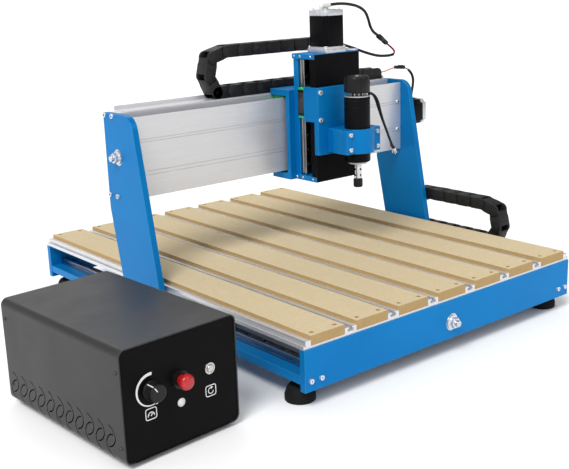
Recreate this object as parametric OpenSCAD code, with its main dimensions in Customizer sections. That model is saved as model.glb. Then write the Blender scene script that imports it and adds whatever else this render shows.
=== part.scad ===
// Desktop CNC router with a moving gantry, and its separate control box.
// Millimetres. X runs along the gantry, Y from front to rear, Z up.
// Working frame: X = 0 on the machine's centre line, Y = 0 on the front plate's outer face,
// Z = 0 on the bottom edge of the front and rear plates. placed() moves it all to the origin:
// the middle of the floor area, on the floor.

/* [Base frame] */
// Width of the base and of the table
base_w = 700; // [600:10:860]
// Depth of the base
base_d = 886; // [740:1:1080]
// Height of the front and rear plates
plate_h = 72; // [68:1:84]
// Thickness of the front, rear and gantry plates
plate_t = 12; // [10:0.5:15]
// Width of a side beam
beam_w = 50; // [46:1:60]
// Height of a side beam
beam_h = 14.5; // [12:0.5:17]
// Bottom of the side beams above the plates' bottom edge
beam_z = 11; // [9:0.5:12]
// Height of the plates' bottom edge above the floor
floor_gap = 30; // [26:1:40]

/* [Table] */
// Number of board slats
slat_count = 7; // [5:1:9]
// Thickness of the slats
slat_t = 17; // [14:0.5:20]
// Width of a T-slot rib
rib_w = 26; // [22:0.5:32]
// Width of the two edge ribs
edge_rib_w = 15.5; // [12:0.5:20]
// Thickness of the aluminium web below the slats
web_t = 4; // [3:0.5:6]
// Height of the ribs above the web
rib_h = 10; // [8:0.5:12]
// Width of a T-slot's mouth
slot_w = 8; // [6:0.5:10]

/* [Gantry] */
// Gap between the base and the gantry plates
gantry_gap = 6.35; // [4:0.05:9]
// Place of the cross screw along the depth, at rest
gantry_y = 505; // [440:1:560]
// Height of the cross screw
cross_z = 320; // [290:1:360]
// Height of the gantry beam's front face
cross_face_h = 152; // [140:1:170]
// Bottom of the gantry plates
gantry_foot_z = 38; // [34:1:46]

/* [Cross carriage] */
// Place of the carriage's middle along X, at rest
carriage_x = 78.5; // [-60:0.5:120]
// Width of the carriage plate
carriage_w = 144; // [136:1:170]
// Width of the Z frame
frame_w = 121; // [115:1:132]
// Bottom of the Z frame
frame_z = 228; // [215:1:234]
// Top of the Z frame
frame_top_z = 487; // [478:1:500]

/* [Spindle] */
// Diameter of the spindle's body
spindle_d = 52; // [44:0.5:56]
// Distance from the spindle's axis to the saddle's front face
spindle_reach = 42; // [38:0.5:50]
// Bottom of the spindle's body
spindle_z = 272; // [264:1:280]
// Length of the spindle's body
spindle_len = 131; // [115:1:150]
// Bore of the collet
collet_d = 3.175; // [3:0.025:6.5]

/* [Ballscrews and rails] */
// Diameter of the screws
screw_d = 16; // [12:0.5:18]
// Height of the long screw's axis
long_screw_z = 30; // [28:0.5:32]
// Width and height of the rails
rail_w = 15; // [12:0.5:16]
// Height of a rail with its block
block_stack = 28; // [26:0.5:30]
// Length of a block
block_len = 61.4; // [50:0.1:70]

/* [Stepper motors] */
// Side of the motors' flange
motor_w = 57; // [54:0.1:60]
// Length of the motors
motor_len = 85; // [70:1:100]

/* [Cable chains] */
// Height of a chain link
link_h = 24.5; // [20:0.5:27]
// Width of a chain
chain_w = 34; // [26:1:38]
// Inner radius of a chain's bend
chain_r = 28; // [24:0.5:34]

/* [Control box] */
// Width of the control box
box_w = 210; // [190:1:240]
// Depth of the control box
box_d = 335; // [300:1:380]
// Height of the control box without its feet
box_h = 175; // [160:1:200]
// Height of its feet
box_foot_h = 8; // [5:0.5:12]
// Distance of its front left corner left of the machine's centre line
box_left = 664; // [650:1:720]
// Distance of its front left corner behind the front plate
box_back = 23.5; // [10:0.5:60]
// Its turn about the vertical
box_yaw = 3.5; // [0:0.5:8]

/* [Hidden] */
$fn = 48;
fit = 0.05;
gap = 0.3;
half_w = base_w / 2;
plate_in = half_w + gantry_gap;
plate_out = plate_in + plate_t;

// Table
table_z = plate_h;
slat_z = table_z + web_t;
rib_top = slat_z + rib_h;
slat_space = (base_w - 2 * edge_rib_w - (slat_count - 1) * rib_w) / slat_count;
slat_gap = 0.15;
slat_pitch = slat_space + rib_w;
slat_x0 = -half_w + edge_rib_w;
table_inset = 2;
slat_screw_inset = 12;
slat_screw_r = 3.5;
slot_inner_w = slot_w + 6;
slot_inner_h = 4.5;

// Feet
foot_r = 26;
foot_inset = 24;
foot_y = 42;
foot_h = 28;
stud_r = 5;

// Side beams and long rails
beam_x = half_w - 1;
beam_top = beam_z + beam_h;
long_rail_x = beam_x - 31;
block_w = 34;
block_foot = 4.3;
cross_plate_z = beam_top + block_stack;
cross_plate_t = 12;
cross_plate_half = 65;
cross_plate_y = gantry_y - 54;
block_split = 64;
screw_r = screw_d / 2;
journal_r = 6;
bearing_r = 16;
bearing_t = 10;
stub = 16;
nut_r = screw_r + 6;
nut_flange_r = nut_r + 10;
nut_flat = nut_r + 6;
coupling_r = 12;
coupling_len = 30;
shaft_r = 4;
pilot_r = 19;
pilot_t = 1.6;
rear_block_y = base_d - plate_t - 46;
long_nut_y = cross_plate_y;

// Gantry plates: upright at the rear down to a bend, then leaning forward to the foot
front_lean = 0.192;
rear_lean = 0.21;
beam_rise = 28.5;
beam_half = cross_face_h / 2 + 0.3;
rail_floor = cross_z + beam_half - 23;
rail_ceiling = cross_z - beam_half + 23;
gantry_top = rail_floor + beam_rise;
gantry_low = rail_ceiling - beam_rise + 1.5;
rear_bend_z = gantry_low - 21.7;
top_front = gantry_y - 56;
top_rear = gantry_y + 42;
corner_r = 30;
front_face = gantry_y - 36;
lip_t = 4;
channel_w = block_w + 2;
channel_y = front_face + lip_t;
beam_rear = gantry_y + 39;
cross_rail_y = channel_y + channel_w / 2;
cavity_h = 82;
front_wall = 6;

// Cross screw
cross_bearing_x = plate_in - 60;

// Carriage
carriage_y = front_face - 10;
carriage_t = 10;
flange_t = 12;
top_flange_z = rail_floor + block_stack;
low_flange_z = rail_ceiling - block_stack - flange_t;
back_t = 14;
back_y = carriage_y - carriage_t - back_t;
back_w = frame_w - 8;
frame_plate_t = 10;
cover_t = 2;
cover_y = back_y - 57;
cover_return = 16;
frame_y = cover_y + cover_t;
frame_left = carriage_x - frame_w / 2;
frame_right = carriage_x + frame_w / 2;
z_rail_off = frame_w / 2 - 14.5;
z_rail_z0 = frame_z + frame_plate_t + 2;
z_rail_z1 = frame_top_z - frame_plate_t - 2;
z_screw_y = back_y - 26;
rear_arm_y = beam_rear + 4;
rear_arm_t = 12;

// Saddle
saddle_w = frame_w + 13.4;
saddle_t = 12;
saddle_y = cover_y - 2 - saddle_t;
cheek_t = 6.2;
saddle_z0 = 287;
saddle_z1 = 422;
cheek_z0 = 353;
block_z0 = 358;
block_face_y = back_y - block_stack;
saddle_foot_t = 11;
nut_block_w = 52;
nut_block_z0 = 358;
nut_block_z1 = 382;

// Spindle
spindle_r = spindle_d / 2;
spindle_y = saddle_y - spindle_reach;
clamp_z0 = 292;
clamp_h = 48;
clamp_w = spindle_d + 40;
clamp_ear_y = spindle_y - 18.4;
clamp_split = 0.8;
strap_wall = 8;
spindle_top = spindle_z + spindle_len;
cap_h = 33;
cap_gap = 8;
cap_ribs = 16;
shaft_out = 7.9;
nose_t = 4;
shaft_low = 236;
collet_nut_r = 9.5;
collet_nut_z = 219;
collet_r = 5.5;
post_reach = 20;
terminal_l = 13;

// Chains. A chain's lower run lies on a tray, and its upper run follows the moving end.
chain_out_r = chain_r + link_h;
tray_t = 1.6;
cross_chain_y = gantry_y + 10;
cross_chain_z = gantry_top + tray_t + gap;
cross_bend_x = -97.5;
cross_fixed_x = plate_in - 11;
cross_move_x = carriage_x + 125;
long_chain_x = plate_out + 5.6;
long_chain_z = beam_top + 24.5;
long_bend_y = gantry_y - 261.5;
long_fixed_y = gantry_y - 35;
long_move_y = gantry_y - 75;

// Control box, in its own frame: X right, Y rear, Z up from its bottom edge
box_wall = 2;
box_r = 12;
panel_t = 3;
panel_in = 1.5;
dial_col = 51;
stop_col = 102;
stop_r = 12;
reset_col = 157;
control_row = 102;
icon_row = 65.5;
supply_x0 = 28;
supply_y0 = 175;
supply_w = 154;
supply_d = 100;
supply_h = 42;
board_x0 = 28;
board_y0 = 46;
board_w = 154;
board_d = 108;
standoff = 8;
vent_count = 11;
vent_pitch = 28;
vent_first = 35;
vent_row = 30;
vent_r = 1.1;

// Lead routes, as round numbers in the working frame's axes
z_lead_r = 3;
z_lead = [[91, 415, 580], [120, 416, 581], [150, 420, 579], [182, 425, 573], [207, 430, 562],
    [222, 435, 546], [233, 440, 530], [248, 446, 517], [267, 450, 507], [299, 456, 488],
    [320, 461, 477], [334, 466, 468], [338, 472, 461], [331, 482, 458], [309, 494, 459],
    [280, 505, 468], [250, 514, 480], [225, 522, 489], [204, 532, 496]];
x_lead_r = 3;
x_lead = [[438, 512, 349], [441, 513, 362], [446, 514, 378], [448, 515, 392], [444, 516, 405],
    [434, 517, 416], [419, 518, 423], [391, 519, 425], [376, 521, 422], [362, 524, 418],
    [346, 528, 416]];
spindle_lead_r = 2.4;
spindle_lead_a = [[93, 305, 408], [98, 299, 407.5], [103, 295, 402], [108, 292, 390],
    [113, 291, 372], [120, 290, 351], [129, 289, 330], [137, 289, 313], [144, 289, 300],
    [149, 289, 292]];
spindle_lead_b = [[98, 311, 408], [104, 307.5, 407.5], [109, 304, 401], [114, 302, 388],
    [120, 300, 369], [128, 299, 350], [136, 298, 332], [143, 297, 316], [149, 297, 303],
    [152, 297, 294]];

origin_x = (plate_out + motor_len - box_left - box_d * sin(box_yaw)) / 2;
origin_y = (base_d + motor_len - stub) / 2;

blue = [0.12, 0.46, 0.76];
silver = [0.80, 0.81, 0.83];
steel = [0.62, 0.63, 0.65];
black = [0.09, 0.09, 0.10];
board = [0.80, 0.70, 0.50];

module placed() {
    translate([-origin_x, -origin_y, floor_gap]) children();
}

// A block from its lowest to its highest corner
module span(x0, x1, y0, y1, z0, z1) {
    translate([x0, y0, z0]) cube([x1 - x0, y1 - y0, z1 - z0]);
}

// Round bars along the three axes, from the first to the second coordinate
module bar_x(x0, x1, y, z, r) {
    translate([x0, y, z]) rotate([0, 90, 0]) cylinder(r = r, h = x1 - x0);
}

module bar_y(x, y0, y1, z, r) {
    translate([x, y0, z]) rotate([-90, 0, 0]) cylinder(r = r, h = y1 - y0);
}

module bar_z(x, y, z0, z1, r) {
    translate([x, y, z0]) cylinder(r = r, h = z1 - z0);
}

// Runs a shape drawn in (Y, Z) along X
module along_x(x0, x1) {
    translate([x0, 0, 0]) rotate([90, 0, 90]) linear_extrude(x1 - x0) children();
}

// Runs a shape drawn in (X, Z) along Y
module along_y(y0, y1) {
    translate([0, y1, 0]) rotate([90, 0, 0]) linear_extrude(y1 - y0) children();
}

module both_sides() {
    children();
    mirror([1, 0, 0]) children();
}

// Cap screw with its head's seat at Z = 0 and its shank below, with a hex socket
module cap_screw(r, len) {
    difference() {
        union() {
            cylinder(r = r * 1.7, h = r * 1.6);
            translate([0, 0, -len]) cylinder(r = r, h = len + 0.1);
        }
        translate([0, 0, r * 0.8]) cylinder(r = r * 0.9, h = r, $fn = 6);
    }
}

// ---- Base ----

module end_plate_holes() {
    both_sides() {
        bar_y(beam_x - 10.5, -1, plate_t + 1, beam_z + beam_h / 2, 3);
        bar_y(beam_x - 32.5, -1, plate_t + 1, beam_z + beam_h / 2, 3);
    }
}

module front_plate() placed() {
    color(blue) difference() {
        span(-half_w, half_w, 0, plate_t, 0, plate_h);
        end_plate_holes();
        bar_y(0, -1, plate_t + 1, long_screw_z, bearing_r + fit);
    }
}

module rear_plate() placed() {
    color(blue) translate([0, base_d - plate_t, 0]) difference() {
        span(-half_w, half_w, 0, plate_t, 0, plate_h);
        end_plate_holes();
        bar_y(0, -1, plate_t + 1, long_screw_z, pilot_r + fit);
    }
}

module side_beams() placed() {
    color(blue) both_sides() difference() {
        span(beam_x - beam_w, beam_x, plate_t, base_d - plate_t, beam_z, beam_top);
        for (y = [plate_t - 1, base_d - plate_t - 24])
            for (x = [beam_x - 10.5, beam_x - 32.5])
                bar_y(x, y, y + 25, beam_z + beam_h / 2, 2.55);
        for (y = [foot_y, base_d - foot_y])
            bar_z(half_w - foot_inset, y, beam_z - 1, beam_z + 8, stud_r + fit);
    }
}

// One middle rib with half a web on each side, centred on X = 0
module profile_section(left, right, ribw) {
    difference() {
        union() {
            translate([-left, table_z]) square([left + right, web_t]);
            translate([-ribw / 2, slat_z - 0.01]) square([ribw, rib_h + 0.01]);
        }
        translate([-slot_w / 2, rib_top - 4]) square([slot_w, 5]);
        translate([-slot_inner_w / 2, rib_top - 3 - slot_inner_h])
            square([slot_inner_w, slot_inner_h]);
    }
}

module edge_profile_section() {
    translate([-half_w, table_z]) square([edge_rib_w + slat_space / 2 - 0.05, web_t]);
    translate([-half_w + 4.5, slat_z - 0.01]) square([edge_rib_w - 4.5, rib_h + 0.01]);
    translate([-half_w, slat_z - 0.01]) square([2.5, 2.5]);
}

module table_profiles() placed() {
    color(silver) along_y(table_inset, base_d - table_inset) {
        for (i = [1:slat_count - 1])
            translate([slat_x0 + i * slat_pitch - rib_w / 2, 0])
                profile_section(slat_pitch / 2 - 0.05, slat_pitch / 2 - 0.05, rib_w);
        edge_profile_section();
        mirror([1, 0]) edge_profile_section();
    }
}

module slat_places(inset) {
    for (i = [0:slat_count - 1])
        for (x = [inset, slat_space - inset])
            for (y = [table_inset + inset, base_d - table_inset - inset])
                translate([slat_x0 + i * slat_pitch + x, y, slat_z]) children();
}

module table_slats() placed() {
    color(board) difference() {
        for (i = [0:slat_count - 1])
            translate([slat_x0 + i * slat_pitch + slat_gap, table_inset, slat_z])
                cube([slat_space - 2 * slat_gap, base_d - 2 * table_inset, slat_t]);
        slat_places(slat_screw_inset) {
            translate([0, 0, -1]) cylinder(r = 2, h = slat_t + 2, $fn = 16);
            translate([0, 0, slat_t - 7]) cylinder(r = slat_screw_r + 0.3, h = 8, $fn = 16);
        }
    }
}

module base_screws() placed() {
    color(steel) {
        slat_places(slat_screw_inset) {
            translate([0, 0, 0.1]) cylinder(r = 1.8, h = slat_t - 7, $fn = 16);
            translate([0, 0, slat_t - 7]) cylinder(r = slat_screw_r, h = 3, $fn = 16);
        }
        both_sides() for (x = [beam_x - 10.5, beam_x - 32.5]) {
            translate([x, 0, beam_z + beam_h / 2]) rotate([90, 0, 0]) cap_screw(2.5, 30);
            translate([x, base_d, beam_z + beam_h / 2]) rotate([-90, 0, 0]) cap_screw(2.5, 30);
        }
        both_sides() for (y = [foot_y, base_d - foot_y])
            bar_z(half_w - foot_inset, y, foot_h - floor_gap - 8, beam_z + 7.5, stud_r);
        both_sides() for (y = [foot_y, base_d - foot_y])
            translate([half_w - foot_inset, y, foot_h - floor_gap + 4.5]) difference() {
                cylinder(r = 9, h = 5, $fn = 6);
                translate([0, 0, -1]) cylinder(r = stud_r + fit, h = 7);
            }
    }
}

module rubber_feet() placed() {
    color(black) both_sides() for (y = [foot_y, base_d - foot_y])
        translate([half_w - foot_inset, y, -floor_gap]) difference() {
            rotate_extrude() polygon([[0, 0], [foot_r - 2, 0], [foot_r, 2], [foot_r, 12],
                [foot_r - 4, foot_h - 5], [foot_r - 9, foot_h], [0, foot_h]]);
            translate([0, 0, foot_h - 8]) cylinder(r = stud_r + fit, h = 10);
        }
    color(black) on_box() for (x = [25, box_w - 25]) for (y = [30, box_d - 30])
        translate([x, y, -box_foot_h]) cylinder(r1 = 9, r2 = 10.5, h = box_foot_h);
}

// Rail standing on Z = 0, centred on X = 0, with the grooves at its sides
module rail_section() {
    w = rail_w / 2;
    polygon([[-w, 0], [w, 0], [w, 5], [w - 2.5, 6.5], [w - 2.5, 9.5], [w, 11], [w, rail_w - 1],
        [w - 1, rail_w], [1 - w, rail_w], [-w, rail_w - 1], [-w, 11], [2.5 - w, 9.5],
        [2.5 - w, 6.5], [-w, 5]]);
}

module y_rails() placed() {
    color(steel) both_sides() translate([long_rail_x, 0, beam_top])
        along_y(plate_t + 2, base_d - plate_t - 2) rail_section();
}

// Ball bearing ring centred on the origin, along Z
module bearing(inner) {
    difference() {
        cylinder(r = bearing_r, h = bearing_t);
        translate([0, 0, -1]) cylinder(r = inner + fit, h = bearing_t + 2);
    }
}

module y_bearings() placed() {
    color(steel) translate([0, 1, long_screw_z]) rotate([-90, 0, 0]) bearing(journal_r);
    color(black) difference() {
        span(-30, 30, rear_block_y, rear_block_y + 18, 10, table_z);
        bar_y(0, rear_block_y - 1, rear_block_y + 19, long_screw_z, bearing_r + fit);
    }
    color(steel) translate([0, rear_block_y + 4, long_screw_z]) rotate([-90, 0, 0])
        bearing(journal_r);
}

// Stepper motor on the plane Z = 0, with its shaft and pilot below
module stepper() {
    w = motor_w;
    flange = 12;
    cap = 12;
    color(silver) difference() {
        union() {
            translate([-w / 2, -w / 2, 0]) cube([w, w, flange]);
            translate([0, 0, -pilot_t]) cylinder(r = pilot_r, h = pilot_t + 1);
        }
        for (x = [-1, 1]) for (y = [-1, 1])
            translate([x * 23.57, y * 23.57, -3]) cylinder(r = 2.6, h = flange + 4);
        translate([0, 0, -3]) cylinder(r = shaft_r + 2, h = 8);
    }
    color(black) translate([0, 0, flange]) linear_extrude(motor_len - flange - cap)
        stepper_outline(w);
    color(silver) translate([0, 0, motor_len - cap]) linear_extrude(cap) stepper_outline(w);
}

// Square with notched corners
module stepper_outline(w) {
    difference() {
        square([w - 1, w - 1], center = true);
        for (x = [-1, 1]) for (y = [-1, 1])
            translate([x * w / 2, y * w / 2]) rotate(45) square([9, 9], center = true);
    }
}

module y_motor() placed() {
    translate([0, base_d, long_screw_z]) rotate([-90, 0, 0]) stepper();
}

// Ballscrew along Z: two journals, thread, jaw coupling at the top with the motor's shaft in it
module ballscrew(low, thread0, thread1, high, shaft_to) {
    color(silver) {
        translate([0, 0, low]) cylinder(r = journal_r, h = thread0 - low + 1);
        translate([0, 0, thread0]) cylinder(r = screw_r, h = thread1 - thread0);
        translate([0, 0, thread1 - 1]) cylinder(r = journal_r, h = high - thread1 + 1);
    }
    color(steel) difference() {
        translate([0, 0, high - 12]) cylinder(r = coupling_r, h = coupling_len);
        translate([0, 0, high - 13]) cylinder(r = journal_r + fit, h = 13.1);
        translate([0, 0, high]) cylinder(r = shaft_r + fit, h = coupling_len);
    }
    color(silver) translate([0, 0, high + 2]) cylinder(r = shaft_r, h = shaft_to - high - 2);
}

// Washer and hex nut on a screw's outer end, on the plane Z = 0 and standing up
module end_nut() {
    color(silver) difference() {
        union() {
            cylinder(r = 13, h = 2.5);
            translate([0, 0, 2.5]) cylinder(r = 10.4, h = 8, $fn = 6);
        }
        translate([0, 0, -1]) cylinder(r = journal_r + fit, h = 14);
    }
}

module y_screw() placed() {
    high = rear_block_y + 32;
    translate([0, 0, long_screw_z]) rotate([-90, 0, 0])
        ballscrew(-stub, plate_t + 2, rear_block_y - 2, high, base_d - 2);
    translate([0, 0.7, long_screw_z]) rotate([90, 0, 0]) end_nut();
}

// A straight length of chain along X from 0, drawn on Z = 0, with its links' side cuts
module chain_run(len) {
    pitch = 22;
    difference() {
        cube([len, chain_w, link_h]);
        translate([-1, 4, 3]) cube([len + 2, chain_w - 8, link_h - 6]);
        for (i = [1:floor((len - 6) / pitch)]) for (y = [-1, chain_w - 1])
            translate([i * pitch, y, -1]) cube([1.2, 2, link_h + 2]);
    }
}

// The chain's half turn about Y, centred on the origin, on the -X side
module chain_half_turn() {
    difference() {
        rotate([-90, 0, 0]) cylinder(r = chain_out_r, h = chain_w);
        translate([0, -1, 0]) rotate([-90, 0, 0]) cylinder(r = chain_r, h = chain_w + 2);
        translate([0, -1, -100]) cube([200, chain_w + 2, 200]);
        translate([0, 4, 0]) rotate([-90, 0, 0]) difference() {
            cylinder(r = chain_out_r - 3, h = chain_w - 8);
            translate([0, 0, -1]) cylinder(r = chain_r + 3, h = chain_w);
        }
    }
}

// Lays a shape made along +X into the machine's depth, on the right of the gantry plate
module beside_base() {
    translate([long_chain_x, 0, long_chain_z]) rotate([0, 0, 90]) mirror([0, 1, 0]) children();
}

module y_chain_tray() placed() {
    y0 = long_bend_y - 160;
    y1 = long_fixed_y + 12;
    x0 = long_chain_x - 2;
    x1 = long_chain_x + chain_w + 2;
    low = beam_z;
    top = long_chain_z - gap;
    color(steel) {
        span(x0, x1, y0, y1, top - tray_t, top);
        span(x1 - tray_t, x1, y0, y1, top - 0.1, top + 7);
        for (y = [y0 + 20, (y0 + y1) / 2, y1 - 40]) {
            span(beam_x, x0 + 3, y, y + 20, low, low + 3);
            span(x0, x0 + 3, y, y + 20, low + 2.9, top - tray_t + 0.1);
        }
        span(long_chain_x, x1 - tray_t, y1 - 10, y1 - 8, top - 0.1, top + link_h);
    }
}

module y_chain_lower() placed() {
    color(black) beside_base() translate([long_bend_y, 0, 0]) chain_run(long_fixed_y - long_bend_y);
}

module y_chain_bend() placed() {
    color(black) beside_base() translate([long_bend_y, 0, chain_out_r]) chain_half_turn();
}

module y_chain_upper() placed() {
    z = chain_out_r + chain_r;
    color(black) beside_base() translate([long_bend_y, 0, z]) chain_run(long_move_y - long_bend_y);
}

// ---- Gantry ----

// Outline of a gantry plate in (Y, Z), leaning forward at its foot
module gantry_outline() {
    foot_front = top_front - front_lean * (gantry_top - gantry_foot_z);
    foot_rear = top_rear - rear_lean * (rear_bend_z - gantry_foot_z);
    a = atan(front_lean);
    difference() {
        polygon([[foot_front, gantry_foot_z], [foot_rear, gantry_foot_z], [top_rear, rear_bend_z],
            [top_rear, gantry_top], [top_front, gantry_top]]);
        translate([top_front, gantry_top]) rounding_cut(a);
    }
}

// Takes the sharp corner off, leaving an arc that meets both edges
module rounding_cut(a) {
    t = corner_r / tan((90 + a) / 2);
    difference() {
        polygon([[-20, 5], [t, 5], [t, 0], [t, -corner_r], [-t * sin(a), -t * cos(a)], [-20, -corner_r]]);
        translate([t, -corner_r]) circle(r = corner_r, $fn = 96);
    }
}

module gantry_screw_spots() {
    for (y = [gantry_y + 8, beam_rear - 3.5])
        for (z = [gantry_top - 4.5, gantry_low + 4.5])
            translate([0, y, z]) children();
    for (y = [cross_plate_y - 45, cross_plate_y, cross_plate_y + 45])
        translate([0, y, cross_plate_z + cross_plate_t / 2]) children();
}

module gantry_plate(bore_r) {
    color(blue) difference() {
        along_x(plate_in, plate_out) gantry_outline();
        bar_x(plate_in - 1, plate_out + 1, gantry_y, cross_z, bore_r + fit);
        gantry_screw_spots() bar_x(plate_in - 1, plate_out + 1, 0, 0, 2.8);
    }
}

module gantry_plate_left() placed() {
    mirror([1, 0, 0]) gantry_plate(bearing_r);
}

module gantry_plate_right() placed() {
    gantry_plate(pilot_r);
    y = long_move_y;
    z = long_chain_z + chain_out_r + chain_r;
    color(blue) difference() {
        span(plate_out, long_chain_x + chain_w, y - 28, y, z - 3.2, z - gap);
        span(plate_out - 1, long_chain_x + chain_w + 1, y - 18, y - 16, z - 3.3, z - 1.8);
    }
}

module gantry_screws() placed() {
    color(silver) both_sides() gantry_screw_spots() translate([plate_out, 0, 0])
        rotate([0, 90, 0]) cap_screw(2.5, plate_t + 13);
}

// Open section in (Y, Z): rail channels above and below, the screw's space open to the rear
module beam_section() {
    c = cavity_h / 2;
    inner = front_face + front_wall;
    polygon([[front_face, cross_z - beam_half], [channel_y, cross_z - beam_half],
        [channel_y, rail_ceiling], [channel_y + channel_w, rail_ceiling],
        [channel_y + channel_w, gantry_low], [beam_rear, gantry_low], [beam_rear, cross_z - c],
        [inner, cross_z - c], [inner, cross_z + c], [beam_rear, cross_z + c],
        [beam_rear, gantry_top], [channel_y + channel_w, gantry_top],
        [channel_y + channel_w, rail_floor], [channel_y, rail_floor],
        [channel_y, cross_z + beam_half], [front_face, cross_z + beam_half]]);
}

module gantry_beam() placed() {
    groove = 1.2;
    color(silver) difference() {
        along_x(-plate_in, plate_in) difference() {
            beam_section();
            for (z = [-35, -28, 28, 33]) translate([front_face - 1, cross_z + z])
                square([1 + groove, groove]);
        }
        both_sides() gantry_screw_spots() bar_x(plate_in - 14, plate_in + 1, 0, 0, 2.55);
    }
}

module gantry_crossmember() placed() {
    y0 = cross_plate_y - cross_plate_half;
    y1 = cross_plate_y + cross_plate_half;
    color(blue) difference() {
        span(-plate_in, plate_in, y0, y1, cross_plate_z, cross_plate_z + cross_plate_t);
        both_sides() for (y = [cross_plate_y - 45, cross_plate_y, cross_plate_y + 45])
            bar_x(plate_in - 14, plate_in + 1, y, cross_plate_z + cross_plate_t / 2, 2.55);
    }
}

// Linear block over a rail that stands on Z = 0 and runs along X, centred on the origin
module linear_block() {
    seal = 3;
    w = rail_w / 2 + gap;
    for (part = [[-block_len / 2, seal], [-block_len / 2 + seal, block_len - 2 * seal],
            [block_len / 2 - seal, seal]])
        translate([part[0], 0, 0]) rotate([90, 0, 90]) linear_extrude(part[1]) difference() {
            translate([-block_w / 2, block_foot]) square([block_w, block_stack - block_foot]);
            translate([-w, block_foot - 1]) square([2 * w, rail_w + gap - block_foot + 1]);
        }
}

module y_blocks() placed() {
    color(steel) both_sides() for (y = [-1, 1])
        translate([long_rail_x, cross_plate_y + y * block_split / 2, beam_top])
            rotate([0, 0, 90]) linear_block();
}

// Ball nut along Z with its flange at Z = 0, the body above, and flats on two sides
module ball_nut() {
    color(steel) difference() {
        union() {
            intersection() {
                cylinder(r = nut_flange_r, h = 10);
                translate([-nut_flange_r, -nut_flat, 0]) cube([2 * nut_flange_r, 2 * nut_flat, 10]);
            }
            cylinder(r = nut_r, h = 42);
        }
        translate([0, 0, -1]) cylinder(r = screw_r + fit, h = 44);
    }
}

module y_ball_nut() placed() {
    y0 = long_nut_y;
    translate([0, y0 - 10, long_screw_z]) rotate([-90, 0, 0]) ball_nut();
    color(blue) difference() {
        span(-30, 30, y0, y0 + 30, 12, cross_plate_z);
        bar_y(0, y0 - 1, y0 + 31, long_screw_z, nut_r + fit);
    }
}

module x_rails() placed() {
    color(steel) along_x(-plate_in + 4, plate_in - 4) {
        translate([cross_rail_y, rail_floor]) rail_section();
        translate([cross_rail_y, rail_ceiling]) mirror([0, 1]) rail_section();
    }
}

module x_bearings() placed() {
    color(steel) translate([-plate_out + 1, gantry_y, cross_z]) rotate([0, 90, 0])
        bearing(journal_r);
    x = cross_bearing_x;
    color(black) difference() {
        span(x, x + 18, gantry_y - 22, beam_rear, cross_z - cavity_h / 2, cross_z + cavity_h / 2);
        bar_x(x - 1, x + 19, gantry_y, cross_z, bearing_r + fit);
    }
    color(steel) translate([x + 4, gantry_y, cross_z]) rotate([0, 90, 0]) bearing(journal_r);
}

module x_motor() placed() {
    translate([plate_out, gantry_y, cross_z]) rotate([0, 90, 0]) stepper();
}

module x_screw() placed() {
    x = cross_bearing_x;
    translate([0, gantry_y, cross_z]) rotate([0, 90, 0])
        ballscrew(-plate_out - stub, -plate_in + 2, x - 2, x + 32, plate_out - 2);
    translate([-plate_out + 0.7, gantry_y, cross_z]) rotate([0, -90, 0]) end_nut();
}

module x_chain_tray() placed() {
    x1 = cross_fixed_x + 3;
    y1 = cross_chain_y + chain_w + 2;
    z = gantry_top;
    color(steel) {
        span(-plate_in + 14, x1, channel_y + channel_w + 2, y1, z, z + tray_t);
        span(-plate_in + 14, x1, y1 - tray_t, y1, z + tray_t - 0.1, z + 9);
        span(cross_fixed_x + 0.4, x1, cross_chain_y, y1 - tray_t, z + tray_t - 0.1, z + 8);
    }
}

module x_chain_lower() placed() {
    color(black) translate([cross_bend_x, cross_chain_y, cross_chain_z])
        chain_run(cross_fixed_x - cross_bend_x);
}

module x_chain_bend() placed() {
    color(black) translate([cross_bend_x, cross_chain_y, cross_chain_z + chain_out_r])
        chain_half_turn();
}

module x_chain_upper() placed() {
    color(black) translate([cross_bend_x, cross_chain_y, cross_chain_z + chain_out_r + chain_r])
        chain_run(cross_move_x - cross_bend_x);
}

// ---- Leads ----

function unit(v) = v / norm(v);
function dir_at(p, i) = unit(p[min(i + 1, len(p) - 1)] - p[max(i - 1, 0)]);
function side_at(d) = unit(cross(d, abs(d[2]) < 0.9 ? [0, 0, 1] : [0, 1, 0]));

// Round tube through the points
module tube(p, r) {
    sides = 8;
    n = len(p);
    ring = [for (i = [0:n - 1]) let (d = dir_at(p, i), s = side_at(d), t = cross(d, s))
        for (k = [0:sides - 1]) p[i] + r * (cos(360 * k / sides) * s + sin(360 * k / sides) * t)];
    walls = [for (i = [0:n - 2]) for (k = [0:sides - 1]) for (half = [0, 1])
        let (m = (k + 1) % sides, a = i * sides, b = a + sides)
            half == 0 ? [a + k, b + k, b + m] : [a + k, b + m, a + m]];
    ends = [[for (k = [0:sides - 1]) k], [for (k = [sides - 1:-1:0]) (n - 1) * sides + k]];
    polyhedron(ring, concat(walls, ends));
}

// Bar between two points
module bar_between(a, b, r) {
    v = b - a;
    translate(a) rotate([0, acos(v[2] / norm(v)), atan2(v[1], v[0])]) cylinder(r = r, h = norm(v));
}

function head(p, n) = [for (i = [0:n]) p[i]];
function rest_of(p, n) = [for (i = [n:len(p) - 1]) p[i]];

module z_motor_lead() placed() {
    color(black) {
        tube(head(z_lead, 8), z_lead_r);
        bar_between(z_lead[8], z_lead[9], 5);
        tube(rest_of(z_lead, 9), z_lead_r);
    }
}

module x_motor_lead() placed() {
    color(black) {
        tube(head(x_lead, 6), x_lead_r);
        bar_between(x_lead[6], x_lead[7], 5);
        tube(rest_of(x_lead, 7), x_lead_r);
    }
}

module spindle_leads() placed() {
    color(black) for (lead = [spindle_lead_a, spindle_lead_b]) tube(lead, spindle_lead_r);
}

// ---- Cross carriage ----

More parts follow.
